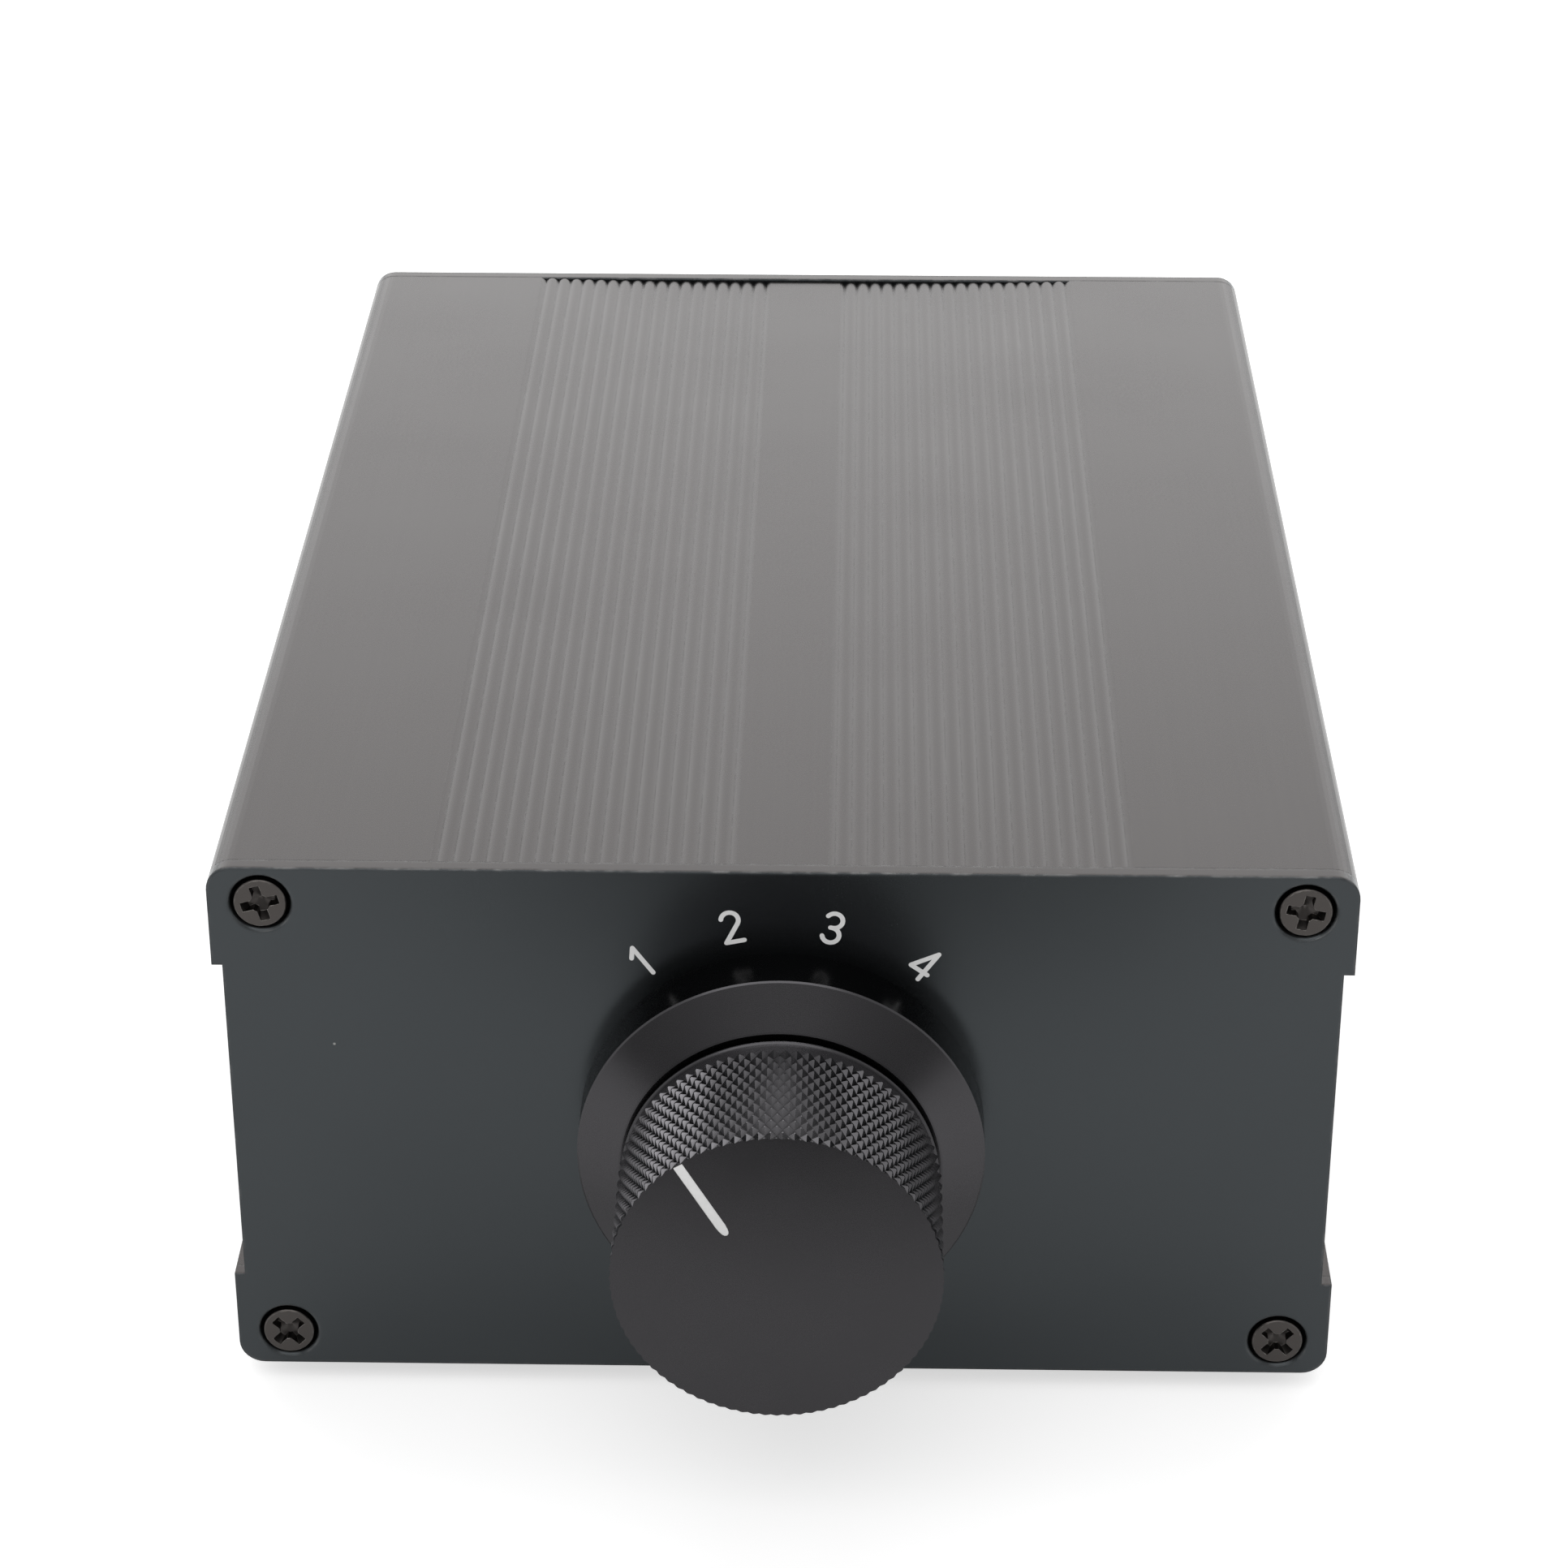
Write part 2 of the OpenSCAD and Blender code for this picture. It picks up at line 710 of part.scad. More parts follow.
// Outline of the pointer from its inner tip to past the knob's rim, where it leans from
module pointer_outline() {
    tip = -pointer_len;
    translate([0, knob_r]) rotate(-pointer_lean) polygon([
        [0, tip], [pointer_w / 5, tip + fit_gap], [pointer_w / 2, tip + pointer_tip],
        [pointer_w / 2, cut], [-pointer_w / 2, cut],
        [-pointer_w / 2, tip + pointer_tip], [-pointer_w / 5, tip + fit_gap]
    ]);
}

module knob() {
    grip_back_y = knob_back_y - collar_len;
    bore_r = shaft_r + turn_gap;
    color("#2e2e30") on_axis() difference() {
        turned() polygon([
            [0, -knob_reach], [knob_r, -knob_reach], [knob_r, grip_back_y],
            [collar_r, grip_back_y], [collar_r, knob_back_y - knob_edge],
            [collar_r - knob_edge, knob_back_y], [counterbore_r, knob_back_y],
            [counterbore_r, knob_back_y - counterbore_depth],
            [bore_r, knob_back_y - counterbore_depth], [bore_r, knob_bore_end_y],
            [0, knob_bore_end_y]
        ]);
        rotate([0, start_angle, 0])
            slab(-knob_reach - fit_gap, -knob_reach + pointer_depth) pointer_outline();
        rotate([0, start_angle + 180, 0]) translate([0, grub_y, 0])
            cylinder(r = grub_r + seat_gap, h = knob_r + cut);
    }
}

module knob_pointer() {
    color("#f0efed") on_axis() rotate([0, start_angle, 0]) intersection() {
        slab(-knob_reach, -knob_reach + pointer_depth) pointer_outline();
        bar(knob_r, -knob_reach, -knob_reach + pointer_depth);
    }
}

module knob_set_screw() {
    color("#1f1f20") on_axis() rotate([0, start_angle + 180, 0])
        translate([0, grub_y, flat_offset + seat_gap]) difference() {
            cylinder(r = grub_r, h = grub_len);
            translate([0, 0, grub_len - grub_key_depth])
                cylinder(d = grub_key_w / cos(30), h = grub_key_depth + fit_gap, $fn = 6);
        }
}

module switch_shaft() {
    edge = 0.5;
    front_flat_y = knob_back_y - counterbore_depth;
    flange_y = cavity_y + turn_gap;
    color("#c4c5c7") on_axis() rotate([0, start_angle + 180, 0]) difference() {
        turned() polygon([
            [0, shaft_end_y], [shaft_r - edge, shaft_end_y], [shaft_r, shaft_end_y + edge],
            [shaft_r, clip_y - clip_t - seat_gap], [clip_groove_r, clip_y - clip_t - seat_gap],
            [clip_groove_r, clip_y + seat_gap], [shaft_r, clip_y + seat_gap],
            [shaft_r, flange_y], [flange_r, flange_y], [flange_r, flange_y + flange_t],
            [shaft_r, flange_y + flange_t], [shaft_r, carrier_back_y], [tail_r, carrier_back_y],
            [tail_r, tail_end_y], [0, tail_end_y]
        ]);
        translate([-shaft_r, shaft_end_y - fit_gap, flat_offset])
            cube([shaft_d, front_flat_y - shaft_end_y + fit_gap, shaft_r]);
        translate([-shaft_r, flange_y + flange_t, flat_offset])
            cube([shaft_d, carrier_back_y - flange_y - flange_t, shaft_r]);
    }
}

module shaft_clip() {
    color("#8d8f92") on_axis() rotate([0, start_angle, 0]) difference() {
        bar(clip_r, clip_y - clip_t, clip_y);
        bar(clip_groove_r + seat_gap, clip_y - clip_t - fit_gap, clip_y + fit_gap);
        translate([-clip_mouth_w / 2, clip_y - clip_t - fit_gap, 0])
            cube([clip_mouth_w, clip_t + 2 * fit_gap, clip_r]);
    }
}

module switch_housing() {
    bore_r = shaft_r + turn_gap;
    edge = 0.5;
    color("#2a3550") on_axis() {
        turned() polygon([
            [bore_r, bushing_end_y], [bushing_r - edge, bushing_end_y],
            [bushing_r, bushing_end_y + edge], [bushing_r, panel_t], [switch_r, panel_t],
            [switch_r, switch_back_y], [cavity_r, switch_back_y], [cavity_r, cavity_y],
            [bore_r, cavity_y]
        ]);
        translate([0, 0, locator_spot]) bar(locator_r, fit_gap, panel_t + front_wall_t / 2);
    }
}

module detent_ring() {
    notch_r = ball_r + turn_gap;
    notch_spot = ridge_r + notch_depth - notch_r;
    color("#a9a49a") on_axis() difference() {
        bar(cavity_r - seat_gap, detent_y, detent_y + detent_depth);
        bar(ridge_r, detent_y - fit_gap, detent_y + detent_depth + fit_gap);
        for (i = [0 : detent_count - 1]) rotate([0, start_angle + i * step_angle, 0])
            translate([notch_spot, 0, 0])
                bar(notch_r, detent_y - fit_gap, detent_y + detent_depth + fit_gap);
    }
}

module detent_balls() {
    color("#d5d7d9") on_axis() rotate([0, start_angle, 0]) for (s = [-1, 1])
        translate([s * ball_track_r, ball_y, 0]) sphere(r = ball_r);
}

module detent_springs() {
    spring_r = ball_r - fit_gap;
    seat_x = shaft_r + fit_gap;
    spring_len = ball_track_r - ball_r - seat_x - fit_gap;
    color("#9fa2a5") on_axis() rotate([0, start_angle, 0]) for (s = [-1, 1])
        translate([s * seat_x, ball_y, 0]) rotate([0, s * 90, 0]) difference() {
            cylinder(r = spring_r, h = spring_len);
            translate([0, 0, -fit_gap]) cylinder(r = spring_r / 2, h = spring_len + 2 * fit_gap);
        }
}

module switch_rotor() {
    color("#e8e4da") on_axis() rotate([0, start_angle, 0]) {
        difference() {
            union() {
                bar(rotor_r, rotor_y, carrier_y);
                bar(carrier_r, carrier_y, carrier_back_y);
                sector(carrier_r - cut, stop_lug_r, carrier_y, carrier_back_y,
                    90 - stop_lug_angle / 2, stop_lug_angle);
            }
            difference() {
                bar(shaft_r + seat_gap, rotor_y - fit_gap, carrier_back_y + fit_gap);
                translate([-shaft_d, rotor_y - cut, -flat_offset - shaft_r - seat_gap])
                    cube([2 * shaft_d, carrier_back_y, shaft_r]);
            }
            translate([-cavity_r, ball_y, 0]) rotate([0, 90, 0])
                cylinder(r = ball_r + seat_gap, h = 2 * cavity_r);
        }
        for (s = [-1, 1])
            translate([0, 0, s * (inner_track_r + outer_track_r) / 2])
                bar(peg_r, carrier_back_y - fit_gap, carrier_back_y + 2 * wiper_t);
    }
}

// Springy bridge between the inner and the outer track, bent in profile
module wiper() {
    foot_y = stator_y - stud_h - fit_gap - wiper_t;
    base_in = inner_track_r + wiper_rise;
    base_out = outer_track_r - wiper_rise;
    top = [
        [inner_track_r - wiper_tip, foot_y], [inner_track_r + wiper_heel, foot_y],
        [base_in, carrier_back_y], [base_out, carrier_back_y],
        [outer_track_r - wiper_heel, foot_y], [outer_track_r + wiper_tip, foot_y]
    ];
    bottom = [for (i = [len(top) - 1 : -1 : 0]) top[i] + [0, wiper_t]];
    difference() {
        rotate([0, -90, 0]) linear_extrude(wiper_w, center = true) polygon(concat(top, bottom));
        translate([0, 0, (inner_track_r + outer_track_r) / 2])
            bar(peg_r + seat_gap, carrier_back_y - fit_gap, stator_y);
    }
}

module rotor_wipers() {
    color("#c98f4e") on_axis() rotate([0, start_angle, 0])
        for (turn = [0, 180]) rotate([0, turn, 0]) wiper();
}

module stator_disc() {
    travel_half = stop_lug_angle / 2 + stop_slack;
    color("#7a5a34") on_axis() {
        difference() {
            bar(cavity_r - seat_gap, stator_y, switch_back_y);
            bar(tail_r + turn_gap, stator_y - fit_gap, switch_back_y + fit_gap);
            for (a = stud_angles) rotate([0, a, 0]) translate([0, 0, outer_track_r])
                bar(pin_r + seat_gap, stator_y - fit_gap, switch_back_y + fit_gap);
            for (a = common_angles) rotate([0, a, 0]) translate([0, 0, inner_track_r])
                bar(pin_r + seat_gap, stator_y - fit_gap, switch_back_y + fit_gap);
        }
        for (start = [start_angle + 90 - travel_half - stop_post_angle,
                start_angle + 90 + travel + travel_half])
            sector(carrier_r + free_gap, cavity_r - fit_gap, carrier_y, stator_y + stud_h,
                start, stop_post_angle);
    }
}

module stator_contacts() {
    pin_end_y = switch_board_back_y + solder_tail;
    color("#d8b56a") on_axis() {
        for (a = stud_angles) rotate([0, a, 0]) translate([0, 0, outer_track_r]) {
            bar(stud_r, stator_y - stud_h, stator_y);
            bar(pin_r, stator_y - stud_h / 2, pin_end_y);
        }
        for (a = common_angles) {
            sector(inner_track_r - common_w / 2, inner_track_r + common_w / 2,
                stator_y - stud_h, stator_y, a - travel / 2 - common_margin,
                travel + 2 * common_margin);
            rotate([0, a, 0]) translate([0, 0, inner_track_r])
                bar(pin_r, stator_y - stud_h / 2, pin_end_y);
        }
    }
}

// Places of a connector's pins, on the X and Y axes of the connector
module at_pins() {
    for (i = [0 : pins_per_row - 1], s = [-0.5, 0.5])
        translate([(i - (pins_per_row - 1) / 2) * pin_pitch, s * pin_pitch, 0]) children();
}

// Box header that stands on a board at the origin
module box_header() {
    difference() {
        translate([-header_w / 2, -header_depth / 2, 0]) cube([header_w, header_depth, header_h]);
        translate([-header_w / 2 + header_wall, -header_depth / 2 + header_wall, header_base])
            cube([header_w - 2 * header_wall, header_depth - 2 * header_wall, header_h]);
        translate([-header_key_w / 2, 0, header_base])
            cube([header_key_w, header_depth, header_h]);
        at_pins() translate([0, 0, header_base / 2])
            cube([pin_side + seat_gap, pin_side + seat_gap, header_base + cut], center = true);
    }
}

module header_pins() {
    low = -board_t - solder_tail;
    high = header_h - pin_drop;
    at_pins() translate([-pin_side / 2, -pin_side / 2, low]) cube([pin_side, pin_side, high - low]);
}

// Cable socket that is pushed into a box header
module cable_plug() {
    start = header_base + plug_lift;
    slot_w = ribbon_w + 2 * fit_gap;
    slot_t = ribbon_t + 2 * seat_gap;
    difference() {
        translate([-plug_w / 2, -plug_depth / 2, start]) cube([plug_w, plug_depth, plug_h - start]);
        at_pins() translate([-plug_hole / 2, -plug_hole / 2, 0])
            cube([plug_hole, plug_hole, header_h - pin_drop / 2]);
        translate([-slot_w / 2, -plug_depth, cable_slot_h - slot_t / 2])
            cube([slot_w, 2 * plug_depth, slot_t]);
    }
}

// Holes in a board for a connector's pins
module pin_holes() {
    at_pins() translate([0, 0, -board_t - cut])
        cylinder(r = pin_side / 2 + pin_hole_gap, h = board_t + 2 * cut);
}

module at_switch_header() {
    place() translate([0, switch_board_back_y, switch_header_z]) rotate([-90, 0, 0]) children();
}

module at_socket_header() {
    place() translate([0, socket_header_y, board_top]) children();
}

module switch_board() {
    pin_hole_r = pin_r + fit_gap;
    color("#1f5a3a") difference() {
        place() translate([-switch_board_w / 2, switch_board_y, switch_board_low_z])
            cube([switch_board_w, board_t, switch_board_high_z - switch_board_low_z]);
        on_axis() {
            for (a = stud_angles) rotate([0, a, 0]) translate([0, 0, outer_track_r])
                bar(pin_hole_r, switch_board_y - cut, switch_board_back_y + cut);
            for (a = common_angles) rotate([0, a, 0]) translate([0, 0, inner_track_r])
                bar(pin_hole_r, switch_board_y - cut, switch_board_back_y + cut);
        }
        at_switch_header() pin_holes();
    }
}

module switch_header() {
    color("#202124") at_switch_header() box_header();
}

module switch_header_pins() {
    color("#d8b56a") at_switch_header() header_pins();
}

module switch_plug() {
    color("#3a3b3e") at_switch_header() cable_plug();
}

module socket_header() {
    color("#202124") at_socket_header() box_header();
}

module socket_header_pins() {
    color("#d8b56a") at_socket_header() header_pins();
}

module socket_plug() {
    color("#3a3b3e") at_socket_header() cable_plug();
}

module ribbon_cable() {
    start = [ribbon_exit_y, ribbon_top_z];
    left = route(start, -90, ribbon_legs, ribbon_t / 2);
    right = route(start, -90, ribbon_legs, -ribbon_t / 2);
    back = [for (i = [len(right) - 1 : -1 : 0]) right[i]];
    color("#9b9da1") place() rotate([90, 0, 90])
        linear_extrude(ribbon_w, center = true) polygon(concat(left, back));
}

module socket_board() {
    w = 2 * (side_in_x - free_gap);
    color("#1f5a3a") difference() {
        place() translate([-w / 2, socket_board_front_y, board_z])
            cube([w, socket_board_d, board_t]);
        at_socket_header() pin_holes();
        place() for (i = [1 : socket_pairs], x = [0, upper_signal_x, upper_ground_x, lower_ground_x])
            translate([pair_x(i) + x, strip_y + strip_t / 2, board_z - cut])
                cylinder(r = strip_hole_r, h = board_t + 2 * cut);
    }
}

module socket_block(i) {
    color("#161617") place() difference() {
        translate([pair_x(i) - block_w / 2, block_front_y, board_top])
            cube([block_w, block_t, high_z + block_top_margin - board_top]);
        for (z = row_z) translate([pair_x(i), 0, z])
            bar(stem_r + seat_gap, block_front_y - cut, back_in_y + cut);
        translate([pair_x(i), 0, (low_z + high_z) / 2])
            bar(tap_r + seat_gap, back_in_y - tap_len, back_in_y + cut);
    }
}

// Flat solder strip behind a block: across from one X to another, then down
module strip(x0, x1, z) {
    left = min(x0, x1) - strip_w / 2;
    translate([left, strip_y, z - strip_w / 2])
        cube([abs(x1 - x0) + strip_w, strip_t, strip_w]);
    translate([x1 - strip_w / 2, strip_y, strip_low_z])
        cube([strip_w, strip_t, z - strip_low_z]);
}

module barrel() {
    edge = 0.4;
    shoulder_y = case_d + collar_out + seat_gap;
    turned() polygon([
        [barrel_bore_r, block_front_y], [stem_r, block_front_y], [stem_r, shoulder_y],
        [barrel_r, shoulder_y], [barrel_r, barrel_end_y - edge],
        [barrel_r - edge, barrel_end_y], [barrel_bore_r, barrel_end_y]
    ]);
}

module socket_barrels(i) {
    tag_w = stem_r - barrel_bore_r;
    tag_x = (barrel_bore_r + stem_r) / 2;
    color("#cfa75a") place() translate([pair_x(i), 0, 0]) {
        for (z = row_z) translate([0, 0, z]) barrel();
        for (row = [[low_z, -tag_x, lower_ground_x], [high_z, tag_x, upper_ground_x]]) {
            translate([row[1] - tag_w / 2, strip_y, row[0] - strip_w / 2])
                cube([tag_w, block_front_y - strip_y + strip_t, strip_w]);
            strip(row[1], row[2], row[0]);
        }
    }
}

module socket_cores(i) {
    front_y = barrel_end_y - core_recess;
    color("#e9e7e2") place() for (z = row_z) translate([pair_x(i), 0, z]) turned() polygon([
        [pin_r + seat_gap, core_back_y], [core_r, core_back_y], [core_r, front_y],
        [mouth_r, front_y], [mouth_r, front_y - core_lip],
        [contact_r + seat_gap, front_y - core_lip], [contact_r + seat_gap, contact_back_y - seat_gap],
        [pin_r + seat_gap, contact_back_y - seat_gap]
    ]);
}

module centre_contact() {
    difference() {
        turned() polygon([
            [0, strip_y], [pin_r, strip_y], [pin_r, contact_back_y],
            [contact_r, contact_back_y], [contact_r, contact_end_y],
            [contact_bore_d / 2, contact_end_y],
            [contact_bore_d / 2, contact_back_y + contact_plug_t],
            [0, contact_back_y + contact_plug_t]
        ]);
        rotate([0, contact_slit_turn, 0])
            translate([-contact_r - cut, contact_end_y - contact_slit_len, -contact_slit_w / 2])
                cube([2 * (contact_r + cut), contact_slit_len + cut, contact_slit_w]);
    }
}

module socket_contacts(i) {
    color("#d8b56a") place() translate([pair_x(i), 0, 0]) {
        for (z = row_z) translate([0, 0, z]) centre_contact();
        strip(0, 0, low_z);
        strip(0, upper_signal_x, high_z);
    }
}

module collar_row(z) {
    place() for (i = [1 : socket_pairs]) translate([pair_x(i), 0, z]) turned() polygon([
        [stem_r + seat_gap, back_in_y], [socket_collar_r, back_in_y],
        [socket_collar_r, case_d + collar_out], [stem_r + seat_gap, case_d + collar_out]
    ]);
}

module red_collars() {
    color("#b3201f") collar_row(low_z);
}

module white_collars() {
    color("#eceae6") collar_row(high_z);
}

module socket_screws() {
    color("#2f2e2c") place() for (i = [1 : socket_pairs])
        translate([pair_x(i), 0, (low_z + high_z) / 2]) difference() {
            union() {
                bar(tap_head_r, case_d, case_d + tap_head_t);
                bar(tap_r, back_in_y - tap_len + cut, case_d + tap_head_t / 2);
            }
            translate([0, case_d + tap_head_t, 0]) mirror([0, 1, 0])
                cross_recess(tap_cross_span, tap_turn * i);
        }
}

upper_shell();
lower_shell();
front_panel();
rear_panel();
front_panel_screws();
rear_panel_screws();
rubber_feet();
bezel_ring();
bushing_nut();
lock_washer();
switch_housing();
detent_ring();
stator_disc();
stator_contacts();
switch_board();
switch_header();
switch_header_pins();
ribbon_cable();
switch_plug();
socket_plug();
socket_board();
socket_header();
socket_header_pins();
red_collars();
white_collars();
socket_screws();
knob();
knob_pointer();
knob_set_screw();
switch_shaft();
shaft_clip();
switch_rotor();
rotor_wipers();
detent_balls();
detent_springs();
for (i = [1 : socket_pairs]) {
    socket_block(i);
    socket_barrels(i);
    socket_cores(i);
    socket_contacts(i);
}
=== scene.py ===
"""The looks of a four-way source selector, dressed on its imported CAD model.

Everything is in metres in the CAD's own frame: X runs across the front, Y to the back, Z up.
"""
import json
import math

import bmesh
import bpy
from mathutils import Matrix, Vector
from mathutils.geometry import delaunay_2d_cdt

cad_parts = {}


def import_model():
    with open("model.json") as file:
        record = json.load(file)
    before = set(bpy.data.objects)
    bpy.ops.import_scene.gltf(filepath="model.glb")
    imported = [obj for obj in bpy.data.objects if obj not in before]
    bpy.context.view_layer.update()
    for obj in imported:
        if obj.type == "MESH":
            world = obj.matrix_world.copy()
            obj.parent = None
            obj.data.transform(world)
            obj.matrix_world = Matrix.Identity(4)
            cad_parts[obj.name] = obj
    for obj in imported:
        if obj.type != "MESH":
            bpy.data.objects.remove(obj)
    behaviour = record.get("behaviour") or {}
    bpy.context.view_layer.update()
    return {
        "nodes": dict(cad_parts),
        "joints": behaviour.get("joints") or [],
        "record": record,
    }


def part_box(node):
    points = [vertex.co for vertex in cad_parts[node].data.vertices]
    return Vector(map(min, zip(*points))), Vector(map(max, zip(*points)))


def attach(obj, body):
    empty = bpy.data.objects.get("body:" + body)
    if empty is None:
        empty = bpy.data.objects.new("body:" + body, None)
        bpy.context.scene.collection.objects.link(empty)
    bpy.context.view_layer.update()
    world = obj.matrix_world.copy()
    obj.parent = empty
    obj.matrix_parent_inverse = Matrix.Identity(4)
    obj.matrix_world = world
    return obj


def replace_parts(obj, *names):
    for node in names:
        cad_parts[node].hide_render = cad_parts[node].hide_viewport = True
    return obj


MM = 0.001

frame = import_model()
AXIS = Vector(frame["joints"][0]["pos_m"])
PANEL_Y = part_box("front_panel")[0].y
REAR_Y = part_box("rear_panel")[1].y

# Camera, as fitted to the photograph's case edges
PHOTO_SIDE_PX = 1932
FOCAL_PX = 5146
SENSOR = 36
CAMERA_PLACE = (6.6 * MM, -399.7 * MM, 245.5 * MM)
CAMERA_YAW, CAMERA_PITCH, CAMERA_ROLL = 1.1, -28.166, -0.02

# Knob
KNURL_COUNT = 88
KNURL_ROWS = 15
KNURL_LAND = 0.15
KNURL_DEPTH = 0.36 * MM
KNURL_RIM_DEPTH = 0.12 * MM
FACE_DOME = 0.2 * MM
FACE_GRID = 1.6 * MM
COLLAR_LEN = 2.1 * MM
COLLAR_DROP = 0.4 * MM
COLLAR_STEP = 0.02 * MM
BEAD_R = 0.2 * MM
BEAD_FOOT = 2.4
# Section of the bead at the knob's back: how far it stands out and from the back, in bead radii
BEAD_SECTION = ((0.5, 2.0), (0.9, 1.5), (1.0, 1.0), (0.7, 0.4))
COUNTERBORE_R = 7.5 * MM
COUNTERBORE_DEPTH = 3 * MM
SHAFT_BORE_R = 3.05 * MM
KNOB_FACE_T = 2.5 * MM
START_ANGLE = math.radians(-36)
POINTER_LEN = 8.6 * MM
POINTER_W = 0.95 * MM
POINTER_LEAN = math.radians(5)
POINTER_DEPTH = 0.3 * MM
FILL_GAP, FILL_EDGE, FILL_DROP = 0.01 * MM, 0.05 * MM, 0.02 * MM
POINTER_RIM_GAP = 0.06 * MM
# The pointer's tip: shares of its half width, and how far from its end they are reached
POINTER_TAPER = ((0.4, 0.06 * MM), (0.68, 0.25 * MM), (0.88, 0.6 * MM), (1.0, 1.15 * MM))

# Lettering
NUMERAL_COUNT = 4
NUMERAL_R = 22.4 * MM
NUMERAL_STEP = math.radians(24)
GLYPH_H = 3.6 * MM
GLYPH_STROKE = 0.44 * MM
PAINT_T = 0.03 * MM
LETTER_STEP = 1.7
ARC_STEPS = 12
REAR_GLYPH_H = 2.8 * MM
REAR_STROKE = 0.36 * MM
REAR_LABEL_RISE = 7.6 * MM
REAR_LABEL_SIDE = 4 * MM


# Materials
BEVEL_SAMPLES = 4
TOP_TONE = (0.0475, 0.0442, 0.0436)
PANEL_TONE = (0.064, 0.0705, 0.0745)
DUST_TONE = (0.5, 0.5, 0.48)
DUST_APART = 16 * MM
# Radius of a speck and of its soft edge, as shares of how far the specks lie apart
DUST_R = (0.006, 0.011)
LATHE_PITCH = 0.11 * MM
# Shares of the turned finish's own colour that paint light and shade on it, and where along X the grip's
# painted shade and the crests' painted highlight lie
GRIP_LIT_TONE, GRIP_SHADE_TONE = 1.25, 0.85
GRIP_SHADE_X = (3 * MM, 9 * MM)
CREST_HIGHLIGHT_TONE = 2.0
CREST_HIGHLIGHT_X = (-6 * MM, 6 * MM)
COLLAR_HIGHLIGHT_TONE = 2.5
RING_LIT_TONE, RING_SIDE_SHADE_TONE = 1.15, 0.35


class Paint:
    """A Principled material that grows by one call per node, in the object's own coordinates."""

    def __init__(self, name, roughness=0.5, metallic=0.0, specular=0.5):
        self.material = bpy.data.materials.new(name)
        self.material.use_nodes = True
        self.tree = self.material.node_tree
        self.shader = self.tree.nodes["Principled BSDF"]
        self.shader.inputs["Roughness"].default_value = roughness
        self.shader.inputs["Metallic"].default_value = metallic
        self.shader.inputs["Specular IOR Level"].default_value = specular
        self.place = self.add("ShaderNodeTexCoord").outputs["Object"]

    def add(self, kind, inputs=None, **settings):
        made = self.tree.nodes.new(kind)
        for key, value in settings.items():
            setattr(made, key, value)
        for key, value in (inputs or {}).items():
            if isinstance(value, bpy.types.NodeSocket):
                self.tree.links.new(value, made.inputs[key])
            else:
                made.inputs[key].default_value = value
        return made

    def put(self, socket, value):
        self.tree.links.new(value, self.shader.inputs[socket])

    def moved(self, offset):
        """Coordinates with their origin at an offset, a point in metres."""
        inputs = {"Vector": self.place, "Location": [-v for v in offset]}
        return self.add("ShaderNodeMapping", inputs).outputs[0]

    def stretched(self, x, y, z):
        """Coordinates scaled by axis, for grain that runs one way."""
        return self.add("ShaderNodeMapping", {"Vector": self.place, "Scale": (x, y, z)}).outputs[0]

    def noise(self, size, detail=2.0, place=None):
        """Soft noise from 0 to 1, with features of that size in metres."""
        inputs = {"Vector": place or self.place, "Scale": 1 / size, "Detail": detail}
        return self.add("ShaderNodeTexNoise", inputs).outputs[0]

    def cells(self, size):
        """Distance to the nearest of random points that lie that far apart, in cell sizes."""
        inputs = {"Vector": self.place, "Scale": 1 / size}
        return self.add("ShaderNodeTexVoronoi", inputs).outputs["Distance"]

    def math(self, operation, a, b=0.0):
        return self.add("ShaderNodeMath", {0: a, 1: b}, operation=operation).outputs[0]

    def both(self, a, b):
        """The share of a surface that two shares leave together."""
        return self.math("MULTIPLY", a, b)

    def between(self, value, low, high, from_low=0.0, from_high=1.0):
        """Value mapped to a range, clamped to it."""
        inputs = {"Value": value, "To Min": low, "To Max": high, "From Min": from_low, "From Max": from_high}
        return self.add("ShaderNodeMapRange", inputs).outputs[0]

    def blend(self, factor, a, b):
        """Colour a at factor 0, colour b at factor 1."""
        made = self.add("ShaderNodeMix", data_type="RGBA")
        for socket, value in ((made.inputs[0], factor), (made.inputs[6], a), (made.inputs[7], b)):
            if isinstance(value, bpy.types.NodeSocket):
                self.tree.links.new(value, socket)
            else:
                socket.default_value = (*value, 1) if hasattr(value, "__len__") else value
        return made.outputs[2]

    def bump(self, height, distance, strength=1.0):
        """Adds a relief of that height in metres."""
        inputs = {"Height": height, "Distance": distance, "Strength": strength}
        before = self.shader.inputs["Normal"].links
        if before:
            inputs["Normal"] = before[0].from_socket
        self.put("Normal", self.add("ShaderNodeBump", inputs).outputs[0])

    def rounded(self, radius):
        """Shades every edge as rounded to a radius, and tells how near an edge is, from 0 to 1."""
        soft = self.add("ShaderNodeBevel", {"Radius": radius}, samples=BEVEL_SAMPLES).outputs[0]
        self.put("Normal", soft)
        flat = self.add("ShaderNodeNewGeometry").outputs["Normal"]
        alike = self.add("ShaderNodeVectorMath", {0: soft, 1: flat}, operation="DOT_PRODUCT")
        return self.between(alike.outputs["Value"], 1.0, 0.0, 0.75, 0.98)

    def facing(self, axis):
        """How squarely a surface faces one way or the other along an axis, from 0 to 1."""
        normal = self.add("ShaderNodeNewGeometry").outputs["True Normal"]
        return self.math("ABSOLUTE", self.add("ShaderNodeSeparateXYZ", {0: normal}).outputs[axis])

    def radius(self, axis_point):
        """Distance from the knob's axis, which runs along Y."""
        apart = self.add("ShaderNodeSeparateXYZ", {0: self.moved(axis_point)})
        return self.math("SQRT", self.math("ADD", self.math("POWER", apart.outputs[0], 2.0),
                                           self.math("POWER", apart.outputs[2], 2.0)))


def shade(colour, factor):
    return tuple(v * factor for v in colour)


